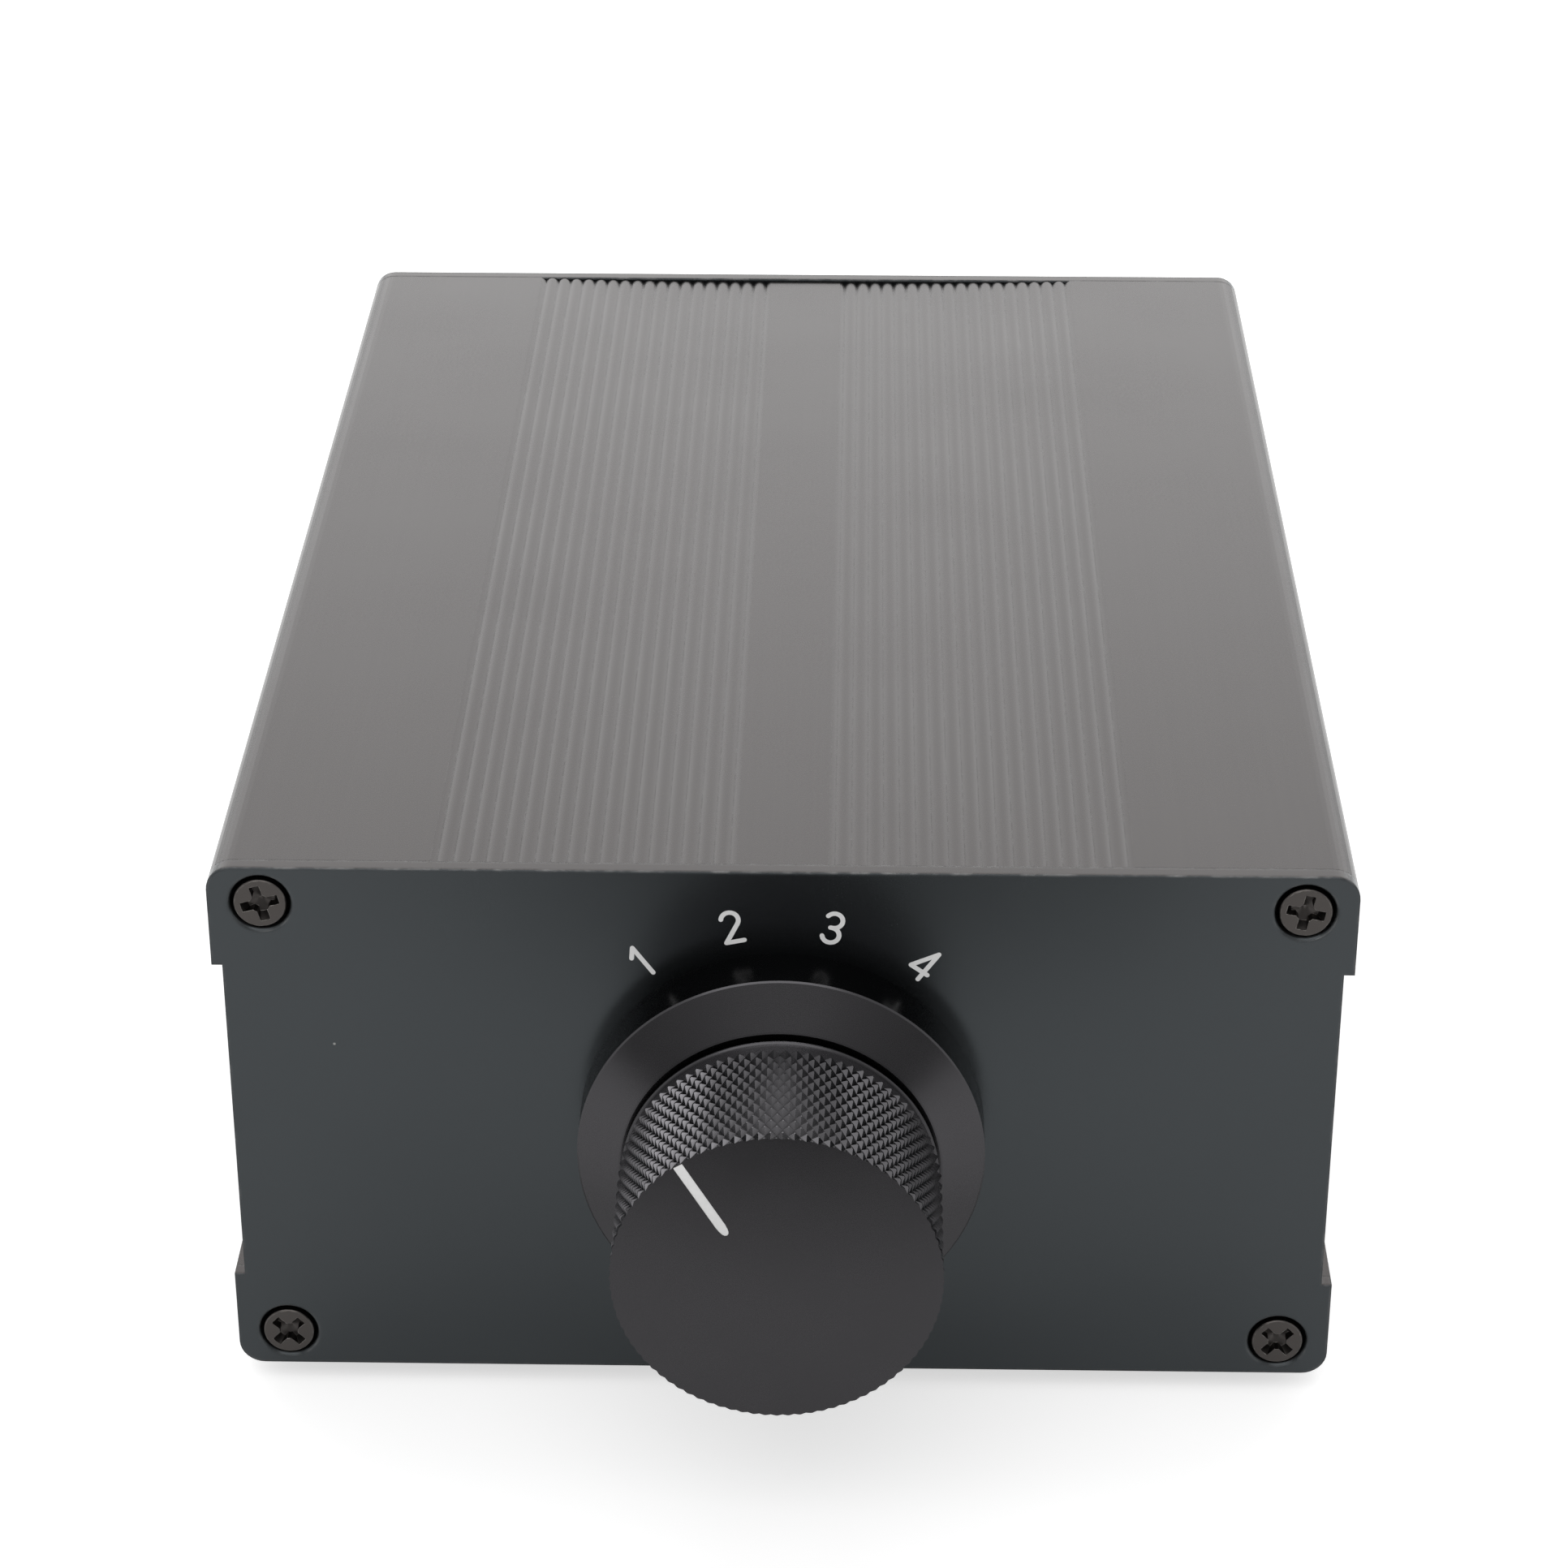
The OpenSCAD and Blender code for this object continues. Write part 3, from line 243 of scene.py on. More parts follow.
def fine_roughness(p, roughness, cloud, grain):
    """Roughness that varies a little with a coarse and a fine noise."""
    p.put("Roughness", p.between(p.math("ADD", cloud, grain), roughness - 0.03, roughness + 0.04, 0.6, 1.4))


def anodised(name, colour, roughness, edge_r, worn_edge_and_highlight_tone, drawn=False):
    """Blasted and dyed aluminium, worn on its edges with a painted highlight there, and given the top tone
    as painted light where it faces up, with faint lines from the die if it was drawn.
    """
    p = Paint(name, metallic=1.0)
    edge = p.rounded(edge_r)
    cloud = p.noise(18 * MM, 3)
    grain = p.noise(0.12 * MM, 2)
    tone = p.blend(cloud, shade(colour, 0.95), shade(colour, 1.05))
    dust = p.between(p.cells(DUST_APART), 0.5, 0.0, *DUST_R)
    tone = p.blend(dust, tone, DUST_TONE)
    # Painted light: faces that look up take the top tone, darker and warmer than the panel's own
    upward_painted_tone = p.between(p.facing(2), 0.0, 1.0, 0.7, 0.95)
    tone = p.blend(upward_painted_tone, tone, TOP_TONE)
    # Worn edges with a painted highlight: edges lighter in patches
    patchy = p.between(p.noise(1.5 * MM, 4), 0.1, 0.9, 0.45, 0.65)
    tone = p.blend(p.both(edge, patchy), tone, (worn_edge_and_highlight_tone, worn_edge_and_highlight_tone, worn_edge_and_highlight_tone))
    if drawn:
        lines = p.noise(1.0, 2, p.stretched(2200, 9, 2200))
        tone = p.blend(p.between(lines, 0.0, 0.12, 0.35, 0.75), tone, shade(colour, 1.25))
    p.put("Base Color", tone)
    fine_roughness(p, roughness, cloud, grain)
    p.bump(grain, 0.003 * MM, 0.5)
    return p.material


def turned(name, colour, roughness):
    """Black anodised metal with the fine rings that a lathe leaves round the knob's axis.

    The grip is painted lighter, with painted shade towards the right. The collar and the knurl's crests
    carry a painted highlight, the crests most on the left. The ring's face is painted lighter, and its side
    darker as painted shade.
    """
    p = Paint(name, metallic=1.0)
    radius = p.radius(AXIS)
    rings = p.math("SINE", p.math("MULTIPLY", radius, 2 * math.pi / LATHE_PITCH))
    grain = p.noise(0.1 * MM, 2)
    cloud = p.noise(6 * MM, 2)
    tone = p.blend(cloud, shade(colour, 0.94), shade(colour, 1.06))
    crest_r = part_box("knob")[1].x - AXIS.x
    collar_r = crest_r - COLLAR_DROP
    knob_r = crest_r + 0.1 * MM
    crest = p.between(radius, 0.0, 1.0, crest_r - KNURL_DEPTH, crest_r - 0.1 * MM)
    collar = p.between(radius, 1.0, 0.0, collar_r, collar_r + 0.03 * MM)
    sideways = p.between(p.facing(1), 1.0, 0.0, 0.35, 0.65)
    on_grip = p.both(p.math("LESS_THAN", radius, knob_r), sideways)
    on_ring = p.math("GREATER_THAN", radius, knob_r)
    across = p.add("ShaderNodeSeparateXYZ", {0: p.place}).outputs[0]
    # Painted light and shade: the grip is painted lighter, and darker towards the right
    painted_shade_right = p.between(across, 0.0, 1.0, *GRIP_SHADE_X)
    wear_and_highlight = p.between(across, 1.0, 0.0, *CREST_HIGHLIGHT_X)
    painted_grip_tone = p.blend(painted_shade_right, shade(colour, GRIP_LIT_TONE), shade(colour, GRIP_SHADE_TONE))
    tone = p.blend(on_grip, tone, painted_grip_tone)
    # Painted highlight on the smooth collar
    tone = p.blend(p.both(collar, on_grip), tone, shade(colour, COLLAR_HIGHLIGHT_TONE))
    # Painted highlight, with crest wear: the knurl's crests are lighter, most on the left
    tone = p.blend(p.both(p.both(crest, on_grip), wear_and_highlight), tone, shade(colour, CREST_HIGHLIGHT_TONE))
    # Painted light on the ring's face, and painted shade on its side
    tone = p.blend(on_ring, tone, shade(colour, RING_LIT_TONE))
    p.put("Base Color", p.blend(p.both(on_ring, sideways), tone, shade(colour, RING_SIDE_SHADE_TONE)))
    fine_roughness(p, roughness, cloud, grain)
    p.bump(rings, 0.0005 * MM, 0.4)
    p.bump(grain, 0.002 * MM, 0.5)
    return p.material


def plated(name, colour, roughness, grain_size=0.3 * MM, wear_and_highlight=None):
    """Plated or bright metal with faint handling marks, and worn bright on its edges if asked, as wear and a
    painted glint.
    """
    p = Paint(name, metallic=1.0)
    edge = p.rounded(0.08 * MM) if wear_and_highlight else None
    cloud = p.noise(2.5 * MM, 3)
    marks = p.noise(grain_size, 4)
    tone = p.blend(cloud, shade(colour, 0.9), colour)
    # Worn edges with a painted glint: edges lighter in patches
    if wear_and_highlight:
        patchy = p.between(p.noise(0.4 * MM, 3), 0.1, 1.0, 0.42, 0.55)
        tone = p.blend(p.both(edge, patchy), tone, wear_and_highlight)
    p.put("Base Color", tone)
    p.put("Roughness", p.between(marks, roughness * 0.8, roughness * 1.35))
    p.bump(marks, 0.004 * MM, 0.4)
    return p.material


def moulded(name, colour, roughness):
    """Moulded plastic or rubber with a fine eroded texture."""
    p = Paint(name)
    cloud = p.noise(5 * MM, 3)
    grain = p.noise(0.16 * MM, 3)
    p.put("Base Color", p.blend(cloud, shade(colour, 0.9), shade(colour, 1.08)))
    p.put("Roughness", p.between(grain, roughness - 0.06, roughness + 0.06))
    p.bump(grain, 0.01 * MM, 0.5)
    return p.material


def printed(name, colour):
    """Screen print or paint fill, a little uneven."""
    p = Paint(name)
    cloud = p.noise(0.5 * MM, 3)
    p.put("Base Color", p.blend(cloud, shade(colour, 0.9), colour))
    p.put("Roughness", p.between(cloud, 0.45, 0.65))
    p.bump(cloud, 0.01 * MM, 0.4)
    return p.material


MATERIALS = {
    "shell": anodised("shell_anodised", TOP_TONE, 0.26, 0.12 * MM, 0.14, drawn=True),
    "panel": anodised("panel_anodised", PANEL_TONE, 0.24, 0.5 * MM, 0.2),
    "turned_black": turned("turned_anodised", (0.060, 0.0585, 0.062), 0.26),
    "screw_black": plated("screw_black_zinc", (0.086, 0.079, 0.075), 0.30, wear_and_highlight=(0.5, 0.48, 0.45)),
    "rubber": moulded("rubber_black", (0.02, 0.02, 0.02), 0.75),
    "nickel": plated("nickel_plate", (0.70, 0.68, 0.64), 0.2),
    "white_paint": printed("paint_white", (0.88, 0.88, 0.875)),
    "moulding_blue": moulded("moulding_blue", (0.03, 0.06, 0.17), 0.4),
    "moulding_black": moulded("moulding_black", (0.018, 0.018, 0.02), 0.5),
    "moulding_white": moulded("moulding_white", (0.78, 0.76, 0.72), 0.4),
    "moulding_red": moulded("moulding_red", (0.45, 0.02, 0.015), 0.38),
    "laminate": moulded("laminate_brown", (0.22, 0.12, 0.05), 0.55),
    "board_green": moulded("board_green", (0.01, 0.09, 0.04), 0.35),
    "gold": plated("gold_plate", (0.83, 0.60, 0.24), 0.2),
    "spring_bronze": plated("spring_bronze", (0.62, 0.36, 0.14), 0.28),
    "steel": plated("steel_bright", (0.56, 0.57, 0.58), 0.22),
    "ribbon_grey": moulded("ribbon_grey", (0.30, 0.31, 0.33), 0.45),
}


def dress(obj, material):
    obj.data.materials.clear()
    obj.data.materials.append(material)


for part in frame["record"]["subparts"]:
    dress(frame["nodes"][part["node"]], MATERIALS[part["material_slot"]])


# Mesh helpers
def piece(name, bm, body, slot, smooth_below=math.radians(35)):
    """Makes a named piece of a bmesh: it rides on a CAD body and takes its finish from a slot."""
    mesh = bpy.data.meshes.new(name)
    bmesh.ops.recalc_face_normals(bm, faces=bm.faces)
    for face in bm.faces:
        face.smooth = True
    bm.to_mesh(mesh)
    bm.free()
    mesh.set_sharp_from_angle(angle=smooth_below)
    obj = bpy.data.objects.new(name, mesh)
    bpy.context.scene.collection.objects.link(obj)
    dress(obj, MATERIALS[slot])
    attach(obj, body)
    return obj


def polar(radius, angle, y):
    """A point round the knob's axis: angle 0 is up, and it grows clockwise as seen from the front."""
    return Vector((AXIS.x + radius * math.sin(angle), y, AXIS.z + radius * math.cos(angle)))


def ring_of(bm, radius, angles, y):
    return [bm.verts.new(polar(radius, a, y)) for a in angles]


def bridge(bm, a, b):
    """Joins two rings of as many vertices each."""
    for i in range(len(a)):
        j = (i + 1) % len(a)
        bm.faces.new((a[i], a[j], b[j], b[i]))


# Knob
def on_face(x, z, depth=0.0):
    """A point of the knob's domed face, or of a depth below it, turned with the pointer."""
    low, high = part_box("knob")
    fall = FACE_DOME * (math.hypot(x, z) / (high.x - AXIS.x)) ** 2
    middle = Vector((AXIS.x, low.y + fall + depth, AXIS.z))
    return Matrix.Rotation(START_ANGLE, 4, "Y") @ Vector((x, 0, z)) + middle


def pointer_outline(inset=0.0):
    """Outline of the pointer's slot, leaning from the rim, with a milled tip, drawn in by an inset."""
    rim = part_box("knob")[1].x - AXIS.x
    tip = inset - POINTER_LEN
    half = POINTER_W / 2 - inset
    end = -KNURL_RIM_DEPTH - POINTER_RIM_GAP - inset
    right = [(half * x, tip + z) for x, z in POINTER_TAPER] + [(half, end)]
    upright = [(0, tip)] + right + [(-x, z) for x, z in reversed(right)]
    lean = Matrix.Rotation(-POINTER_LEAN, 2)
    return [lean @ Vector(v) + Vector((0, rim)) for v in upright]


def faces_of(geometry):
    return [g for g in geometry if isinstance(g, bmesh.types.BMFace)]


def domed_face(bm, inner, slot_edge):
    """Fills the knob's face between its rim and the pointer's slot, and bends it to its dome."""
    low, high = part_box("knob")
    reach = high.x - AXIS.x
    steps = int(reach / FACE_GRID)
    edges = [bm.edges.get((loop[i], loop[i - 1])) for loop in (inner, slot_edge) for i in range(len(loop))]
    made = bmesh.ops.triangle_fill(bm, use_beauty=True, edges=edges, normal=Vector((0, -1, 0)))
    faces = faces_of(made["geom"])
    for axis in (0, 2):
        for i in range(-steps, steps + 1):
            across, at = Vector((0, 0, 0)), AXIS.copy()
            across[axis] = 1
            at[axis] += i * FACE_GRID
            geom = list({v for f in faces for v in f.verts} | {e for f in faces for e in f.edges}) + faces
            cut = bmesh.ops.bisect_plane(bm, geom=geom, dist=0.01 * MM, plane_co=at, plane_no=across)
            faces = list(set(faces_of(cut["geom"] + cut["geom_cut"])))
    for v in {v for f in faces for v in f.verts}:
        out = math.hypot(v.co.x - AXIS.x, v.co.z - AXIS.z) / reach
        v.co.y = low.y + FACE_DOME * out ** 2


def diamond(bm, j, k, corners, place):
    """Makes one pyramid of the knurl with a small land on top, and tells the land's vertices."""
    around = {"left": (j - 1, k), "front": (j, k - 1), "right": (j + 1, k), "back": (j, k + 1)}
    shown = [side for side, (_, row) in around.items() if 0 <= row <= KNURL_ROWS]
    land = {}
    for side in shown:
        dj = around[side][0] - j
        dk = around[side][1] - k
        land[side] = bm.verts.new(place(j + dj * KNURL_LAND, k + dk * KNURL_LAND))
    at = {side: corners[around[side][0] % (2 * KNURL_COUNT), around[side][1]] for side in shown}
    for a, b in (("left", "front"), ("front", "right"), ("right", "back"), ("back", "left")):
        if a in at and b in at:
            bm.faces.new((at[a], at[b], land[b], land[a]))
    bm.faces.new([land[side] for side in shown])
    return land


def knurl(bm, crest_r, rim_y, grip_back_y):
    """Makes diamond knurling from the rim back to the collar, and tells its first and last rings."""
    half_pitch = math.pi / KNURL_COUNT
    half_row = (grip_back_y - rim_y) / KNURL_ROWS
    columns = 2 * KNURL_COUNT
    valley_r = {0: crest_r - KNURL_RIM_DEPTH, KNURL_ROWS: crest_r - COLLAR_DROP}

    def on_crest(j, k):
        return polar(crest_r, j * half_pitch, rim_y + k * half_row)

    def corner(j, k):
        radius = valley_r.get(k, crest_r - KNURL_DEPTH)
        return bm.verts.new(polar(radius, j * half_pitch, rim_y + k * half_row))

    corners = {(j, k): corner(j, k) for k in range(KNURL_ROWS + 1) for j in range(columns) if (j + k) % 2}
    ends = {0: [], KNURL_ROWS: []}
    for k in range(KNURL_ROWS + 1):
        for j in range(columns):
            if (j + k) % 2:
                edge = [corners[j, k]]
            else:
                land = diamond(bm, j, k, corners, on_crest)
                edge = [land["left"], land["right"]]
            if k in ends:
                ends[k] += edge
    return ends[0], ends[KNURL_ROWS]


def angle_of(v):
    return math.atan2(v.co.x - AXIS.x, v.co.z - AXIS.z)


def knob_back(bm, tail, collar_r, grip_back_y):
    """Collar, bead, counterbore and blind shaft bore, from the knurl's last ring on."""
    low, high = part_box("knob")
    back_y = high.y
    angles = [angle_of(v) for v in tail]
    bead = [(collar_r + out * BEAD_R, back_y - down * BEAD_R) for out, down in BEAD_SECTION]
    section = [
        (collar_r - COLLAR_STEP, grip_back_y),
        (collar_r - COLLAR_STEP, back_y - BEAD_FOOT * BEAD_R),
        *bead,
        (collar_r, back_y),
        (COUNTERBORE_R, back_y),
        (COUNTERBORE_R, back_y - COUNTERBORE_DEPTH),
        (SHAFT_BORE_R, back_y - COUNTERBORE_DEPTH),
        (SHAFT_BORE_R, low.y + KNOB_FACE_T),
    ]
    rings = [tail] + [ring_of(bm, r, angles, y) for r, y in section]
    for a, b in zip(rings, rings[1:]):
        bridge(bm, a, b)
    bm.faces.new(rings[-1])


def knob_face(bm, rim, crest_r, rim_y):
    """The domed face within the knurl's first ring, with the pointer's slot milled into it."""
    inner_r = crest_r - KNURL_RIM_DEPTH - POINTER_RIM_GAP / 3
    inner = ring_of(bm, inner_r, [angle_of(v) for v in rim], rim_y)
    bridge(bm, rim, inner)
    slot_edge = [bm.verts.new(on_face(x, z)) for x, z in pointer_outline()]
    slot_floor = [bm.verts.new(v.co + Vector((0, POINTER_DEPTH, 0))) for v in slot_edge]
    bridge(bm, slot_edge, slot_floor)
    bm.faces.new(slot_floor)
    domed_face(bm, inner, slot_edge)


def knurled_knob():
    """The whole knob, with cut diamond knurling, in place of the plain CAD knob."""
    low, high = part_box("knob")
    crest_r = high.x - AXIS.x
    rim_y = low.y + FACE_DOME
    grip_back_y = high.y - COLLAR_LEN
    bm = bmesh.new()
    rim, tail = knurl(bm, crest_r, rim_y, grip_back_y)
    knob_back(bm, tail, crest_r - COLLAR_DROP, grip_back_y)
    knob_face(bm, rim, crest_r, rim_y)
    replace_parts(piece("knurled_knob", bm, "selector", "turned_black", math.radians(25)), "knob")


def pointer_fill():
    """The paint that fills the pointer's slot, a little below the knob's face."""
    bm = bmesh.new()
    levels = ((POINTER_DEPTH, FILL_GAP), (2 * FILL_DROP, FILL_GAP), (FILL_DROP, FILL_EDGE))
    loops = [[bm.verts.new(on_face(x, z, depth)) for x, z in pointer_outline(inset)]
             for depth, inset in levels]
    for a, b in zip(loops, loops[1:]):
        bridge(bm, a, b)
    bm.faces.new(loops[0])
    bm.faces.new(loops[-1])
    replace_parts(piece("pointer_fill", bm, "selector", "white_paint"), "knob_pointer")


knurled_knob()
pointer_fill()


# Lettering
def arc(x, z, r, start, end):
    """Points of an arc in glyph units, angles in degrees anticlockwise from the right."""
    turn = [math.radians(start + (end - start) * i / ARC_STEPS) for i in range(ARC_STEPS + 1)]
    return [(x + r * math.cos(a), z + r * math.sin(a)) for a in turn]


# Strokes of each glyph's middle line, in units of half its height
GLYPHS = {
    "1": [[(-0.22, 0.40), (0.18, 0.88), (0.18, -0.92)]],
    "2": [arc(0, 0.42, 0.45, 165, -38) + [(-0.44, -0.87), (0.50, -0.87)]],
    "3": [arc(0.02, 0.44, 0.43, 150, -90) + [(-0.1, 0.01)], arc(0, -0.43, 0.44, 90, -165)],
    "4": [[(0.27, 0.92), (0.27, -0.90)], [(0.27, 0.92), (-0.53, -0.42), (0.52, -0.42)]],
    "L": [[(-0.42, 0.87), (-0.42, -0.87), (0.48, -0.87)]],
    "O": [arc(0, 0.28, 0.58, 0, 180) + arc(0, -0.28, 0.58, 180, 360) + [(0.58, 0.28)]],
    "R": [[(-0.45, -0.87), (-0.45, 0.87), (0.05, 0.87)] + arc(0.05, 0.44, 0.43, 80, -80) + [(-0.45, 0.01)],
          [(0.0, 0.01), (0.48, -0.87)]],
    "T": [[(-0.55, 0.87), (0.55, 0.87)], [(0, 0.87), (0, -0.87)]],
    "U": [[(-0.52, 0.87)] + arc(0, -0.35, 0.52, 180, 360) + [(0.52, 0.87)]],
}


def band(points, width):
    """Convex outlines that together cover a band along a line, with round bends and ends."""
    half = width / 2
    shapes = []
    for a, b in zip(points, points[1:]):
        along = (b - a).normalized() * half
        side = Vector((-along.y, along.x))
        shapes.append([a - side, b - side, b + side, a + side])
    return shapes + [[Vector(v) for v in arc(x, z, half, 0, 360)[:-1]] for x, z in points]


def distance(point, a, b):
    """How far a point lies from the stretch between two others."""
    along = b - a
    part = min(max((point - a).dot(along) / along.length_squared, 0), 1)
    return (point - a - along * part).length


def word_lines(text):
    """Middle lines of a word's strokes, centred on the origin, in units of half the height."""
    middle = (len(text) - 1) / 2
    return [[Vector((x + (i - middle) * LETTER_STEP, z)) for x, z in line]
            for i, letter in enumerate(text) for line in GLYPHS[letter]]


def stroked(lines, width):
    """Points and triangles of the flat shape that strokes of a width along the lines cover."""
    shapes = [shape for line in lines for shape in band(line, width)]
    corners = [v for shape in shapes for v in shape]
    starts = [sum(len(s) for s in shapes[:i]) for i in range(len(shapes))]
    outlines = [list(range(start, start + len(shape))) for start, shape in zip(starts, shapes)]
    points, _, faces, *_ = delaunay_2d_cdt(corners, [], outlines, 1, 1e-5)

    def covered(face):
        middle = sum((points[i] for i in face), Vector((0, 0))) / len(face)
        return any(distance(middle, a, b) < width / 2 for line in lines for a, b in zip(line, line[1:]))

    return points, [face for face in faces if covered(face)]


def label(name, text, centre, out, height, width, turn=0.0):
    """Prints a word on a panel at a centre, facing along Y in the sense of out, turned clockwise."""
    half = height / 2
    points, faces = stroked(word_lines(text), width / half)

    def layer(bm, depth):
        made = []
        for v in points:
            x, z = v.x * half, v.y * half
            x, z = x * math.cos(turn) + z * math.sin(turn), z * math.cos(turn) - x * math.sin(turn)
            made.append(bm.verts.new(centre + Vector((-out * x, out * depth, z))))
        return made

    bm = bmesh.new()
    front, back = layer(bm, PAINT_T), layer(bm, 0)
    for face in faces:
        bm.faces.new([front[i] for i in face])
        bm.faces.new([back[i] for i in reversed(face)])
    sides = [(face[i - 1], face[i]) for face in faces for i in range(len(face))]
    for a, b in sides:
        if (b, a) not in sides:
            bm.faces.new((front[a], front[b], back[b], back[a]))
    piece(name, bm, "case", "white_paint")


def front_numerals():
    for i in range(NUMERAL_COUNT):
        turn = START_ANGLE + i * NUMERAL_STEP
        centre = polar(NUMERAL_R, turn, PANEL_Y)
        label(f"numeral_{i + 1}", str(i + 1), centre, -1, GLYPH_H, GLYPH_STROKE, turn)


def rear_labels():
    """Names of the five socket pairs over them, and of the rows beside them."""
    rows = [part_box(node) for node in ("red_collars", "white_collars")]
    low_z, high_z = ((low.z + high.z) / 2 for low, high in rows)
    for i, text in enumerate(("1", "2", "3", "4", "OUT")):
        low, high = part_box(f"socket_barrels_{i + 1}")
        centre = Vector(((low.x + high.x) / 2, REAR_Y, high_z + REAR_LABEL_RISE))
        label(f"rear_label_{text}", text, centre, 1, REAR_GLYPH_H, REAR_STROKE)
    side_x = rows[0][1].x + REAR_LABEL_SIDE
    for text, z in (("L", high_z), ("R", low_z)):
        label(f"rear_label_{text}", text, Vector((side_x, REAR_Y, z)), 1, REAR_GLYPH_H, REAR_STROKE)


front_numerals()
rear_labels()


# Stage, light and camera. In reflections the floor shows a painted shadow where the photographer stood over
# it, and painted shade towards the front.
FLOOR_TONE = 0.7
PAINTED_SHADOW_SPOT = (3 * MM, -200 * MM, 0)
PAINTED_SHADOW_R = (20 * MM, 66 * MM)
PAINTED_SHADOW_SHARE = 0.12
FLOOR_HALF = 6.0
# Directions in which the mirrored surround is dim, with how bright it is low down and higher up
DIM_SIDE_Y = (-0.62, -0.3)
DIM_SIDE_Z = (0.05, 0.4)
DIM_SIDE_GLOW = (0.15, 0.45)
FRONT_TO_BACK = (-60 * MM, 60 * MM)


def maximum(tree, a, b):
    made = tree.nodes.new("ShaderNodeMath")
    made.operation = "MAXIMUM"
    tree.links.new(a, made.inputs[0])
    tree.links.new(b, made.inputs[1])
    return made.outputs[0]


def mapped(tree, value, from_range, to_range):
    """Value mapped to a range that is given by numbers or sockets, clamped to it."""
    made = tree.nodes.new("ShaderNodeMapRange")
    tree.links.new(value, made.inputs["Value"])
    for key, part in zip(("From Min", "From Max", "To Min", "To Max"), (*from_range, *to_range)):
        if isinstance(part, bpy.types.NodeSocket):
            tree.links.new(part, made.inputs[key])
        else:
            made.inputs[key].default_value = part
    return made.outputs[0]


def by_ray(tree, as_light, mirrored, direct):
    """A strength that depends on whether a surface, a mirror or the camera looks at the surround."""
    path = tree.nodes.new("ShaderNodeLightPath")
    mirror = maximum(tree, path.outputs["Is Glossy Ray"], path.outputs["Is Transmission Ray"])
    soft = mapped(tree, mirror, (0, 1), (as_light, mirrored))
    return mapped(tree, path.outputs["Is Camera Ray"], (0, 1), (soft, direct))


def world(ambient):
    """A white surround, dimmer as a light, with the dim side of the studio behind the camera."""
    made = bpy.data.worlds.new("studio")
    bpy.context.scene.world = made
    made.use_nodes = True
    tree = made.node_tree
    background = tree.nodes["Background"]
    background.inputs["Color"].default_value = (1, 1, 1, 1)
    apart = tree.nodes.new("ShaderNodeSeparateXYZ")
    tree.links.new(tree.nodes.new("ShaderNodeTexCoord").outputs["Generated"], apart.inputs[0])
    front = mapped(tree, apart.outputs["Z"], DIM_SIDE_Z, DIM_SIDE_GLOW)
    mirrored = mapped(tree, apart.outputs["Y"], DIM_SIDE_Y, (front, 1.0))
    tree.links.new(by_ray(tree, ambient, mirrored, 1.0), background.inputs["Strength"])


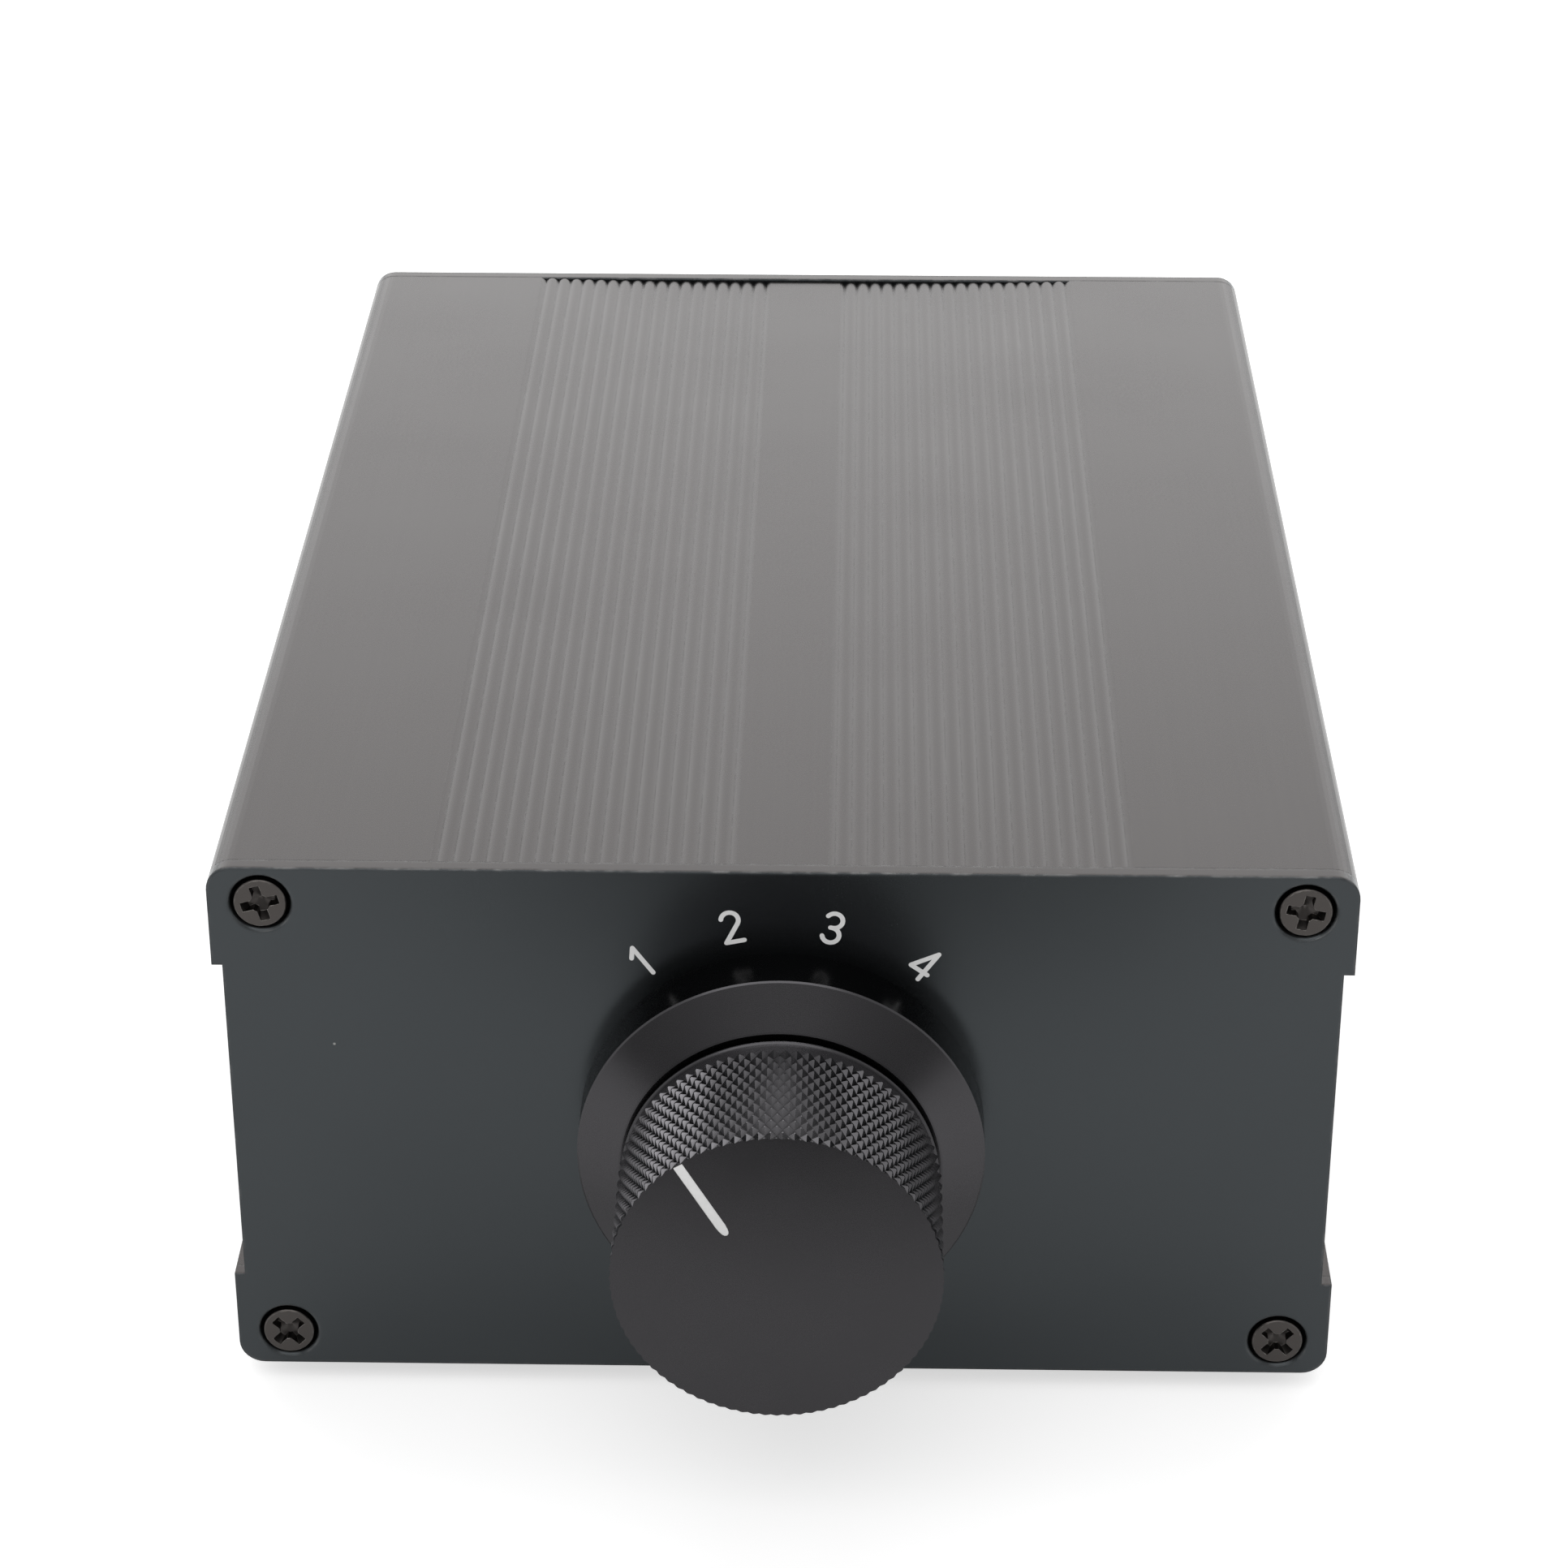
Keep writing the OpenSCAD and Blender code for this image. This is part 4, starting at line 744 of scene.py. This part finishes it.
def floor(glow, shaded_front_glow):
    """A wide pale floor that keeps a soft shadow and reads as white; in reflections it shows painted shade
    in front and a painted shadow spot.
    """
    corners = [(x * FLOOR_HALF, y * FLOOR_HALF, 0) for x, y in ((-1, -1), (1, -1), (1, 1), (-1, 1))]
    mesh = bpy.data.meshes.new("floor")
    mesh.from_pydata(corners, [], [(0, 1, 2, 3)])
    obj = bpy.data.objects.new("floor", mesh)
    bpy.context.scene.collection.objects.link(obj)
    material = bpy.data.materials.new("floor_white")
    material.use_nodes = True
    tree = material.node_tree
    shader = tree.nodes["Principled BSDF"]
    shader.inputs["Roughness"].default_value = 0.9
    shader.inputs["Specular IOR Level"].default_value = 0.0
    shader.inputs["Emission Color"].default_value = (1, 1, 1, 1)
    away = tree.nodes.new("ShaderNodeVectorMath")
    away.operation = "DISTANCE"
    away.inputs[1].default_value = PAINTED_SHADOW_SPOT
    place = tree.nodes.new("ShaderNodeTexCoord").outputs["Object"]
    tree.links.new(place, away.inputs[0])
    apart = tree.nodes.new("ShaderNodeSeparateXYZ")
    tree.links.new(place, apart.inputs[0])
    # Painted shade: in reflections the floor glows less towards the front
    mirrored_glow = mapped(tree, apart.outputs["Y"], FRONT_TO_BACK, (shaded_front_glow, glow))
    # Painted shadow: in reflections the floor's colour and glow are darkened round a spot in front
    tone = mapped(tree, away.outputs["Value"], PAINTED_SHADOW_R, (PAINTED_SHADOW_SHARE * FLOOR_TONE, FLOOR_TONE))
    strength = mapped(tree, away.outputs["Value"], PAINTED_SHADOW_R, (PAINTED_SHADOW_SHARE * shaded_front_glow, mirrored_glow))
    tree.links.new(by_ray(tree, FLOOR_TONE, tone, FLOOR_TONE), shader.inputs["Base Color"])
    tree.links.new(by_ray(tree, 0.0, strength, glow), shader.inputs["Emission Strength"])
    mesh.materials.append(material)


def softbox(name, place, target, size, radiance):
    """A rectangular lamp that looks as bright as its radiance, where 1 is white."""
    light = bpy.data.lights.new(name, "AREA")
    light.shape = "RECTANGLE"
    light.size, light.size_y = size
    light.energy = math.pi * size[0] * size[1] * radiance
    obj = bpy.data.objects.new(name, light)
    bpy.context.scene.collection.objects.link(obj)
    obj.location = place
    obj.rotation_mode = "QUATERNION"
    obj.rotation_quaternion = (Vector(target) - Vector(place)).to_track_quat("-Z", "Y")


def camera():
    data = bpy.data.cameras.new("photo_camera")
    data.sensor_width = SENSOR
    data.lens = FOCAL_PX / PHOTO_SIDE_PX * SENSOR
    data.clip_start, data.clip_end = 0.01, 50
    obj = bpy.data.objects.new("photo_camera", data)
    bpy.context.scene.collection.objects.link(obj)
    yaw, pitch, roll = (math.radians(v) for v in (CAMERA_YAW, CAMERA_PITCH, CAMERA_ROLL))
    obj.rotation_mode = "QUATERNION"
    aim = Matrix.Rotation(yaw, 3, "Z") @ Matrix.Rotation(math.pi / 2 + pitch, 3, "X")
    aim = aim @ Matrix.Rotation(roll, 3, "Z")
    obj.location = CAMERA_PLACE
    obj.rotation_quaternion = aim.to_quaternion()
    bpy.context.scene.camera = obj


bpy.context.scene.view_settings.view_transform = "Standard"
world(ambient=0.6)
floor(glow=0.6, shaded_front_glow=0.25)
softbox("behind", (0, 1.05, 0.75), (0, 0, 0.05), (2.0, 1.2), 1.3)
softbox("overhead", (-0.05, 0.3, 0.97), (0, 0, 0), (0.7, 0.35), 2.1)
softbox("front", (-0.1, -0.62, 0.85), (0, 0, 0.03), (1.0, 0.5), 1.5)
camera()
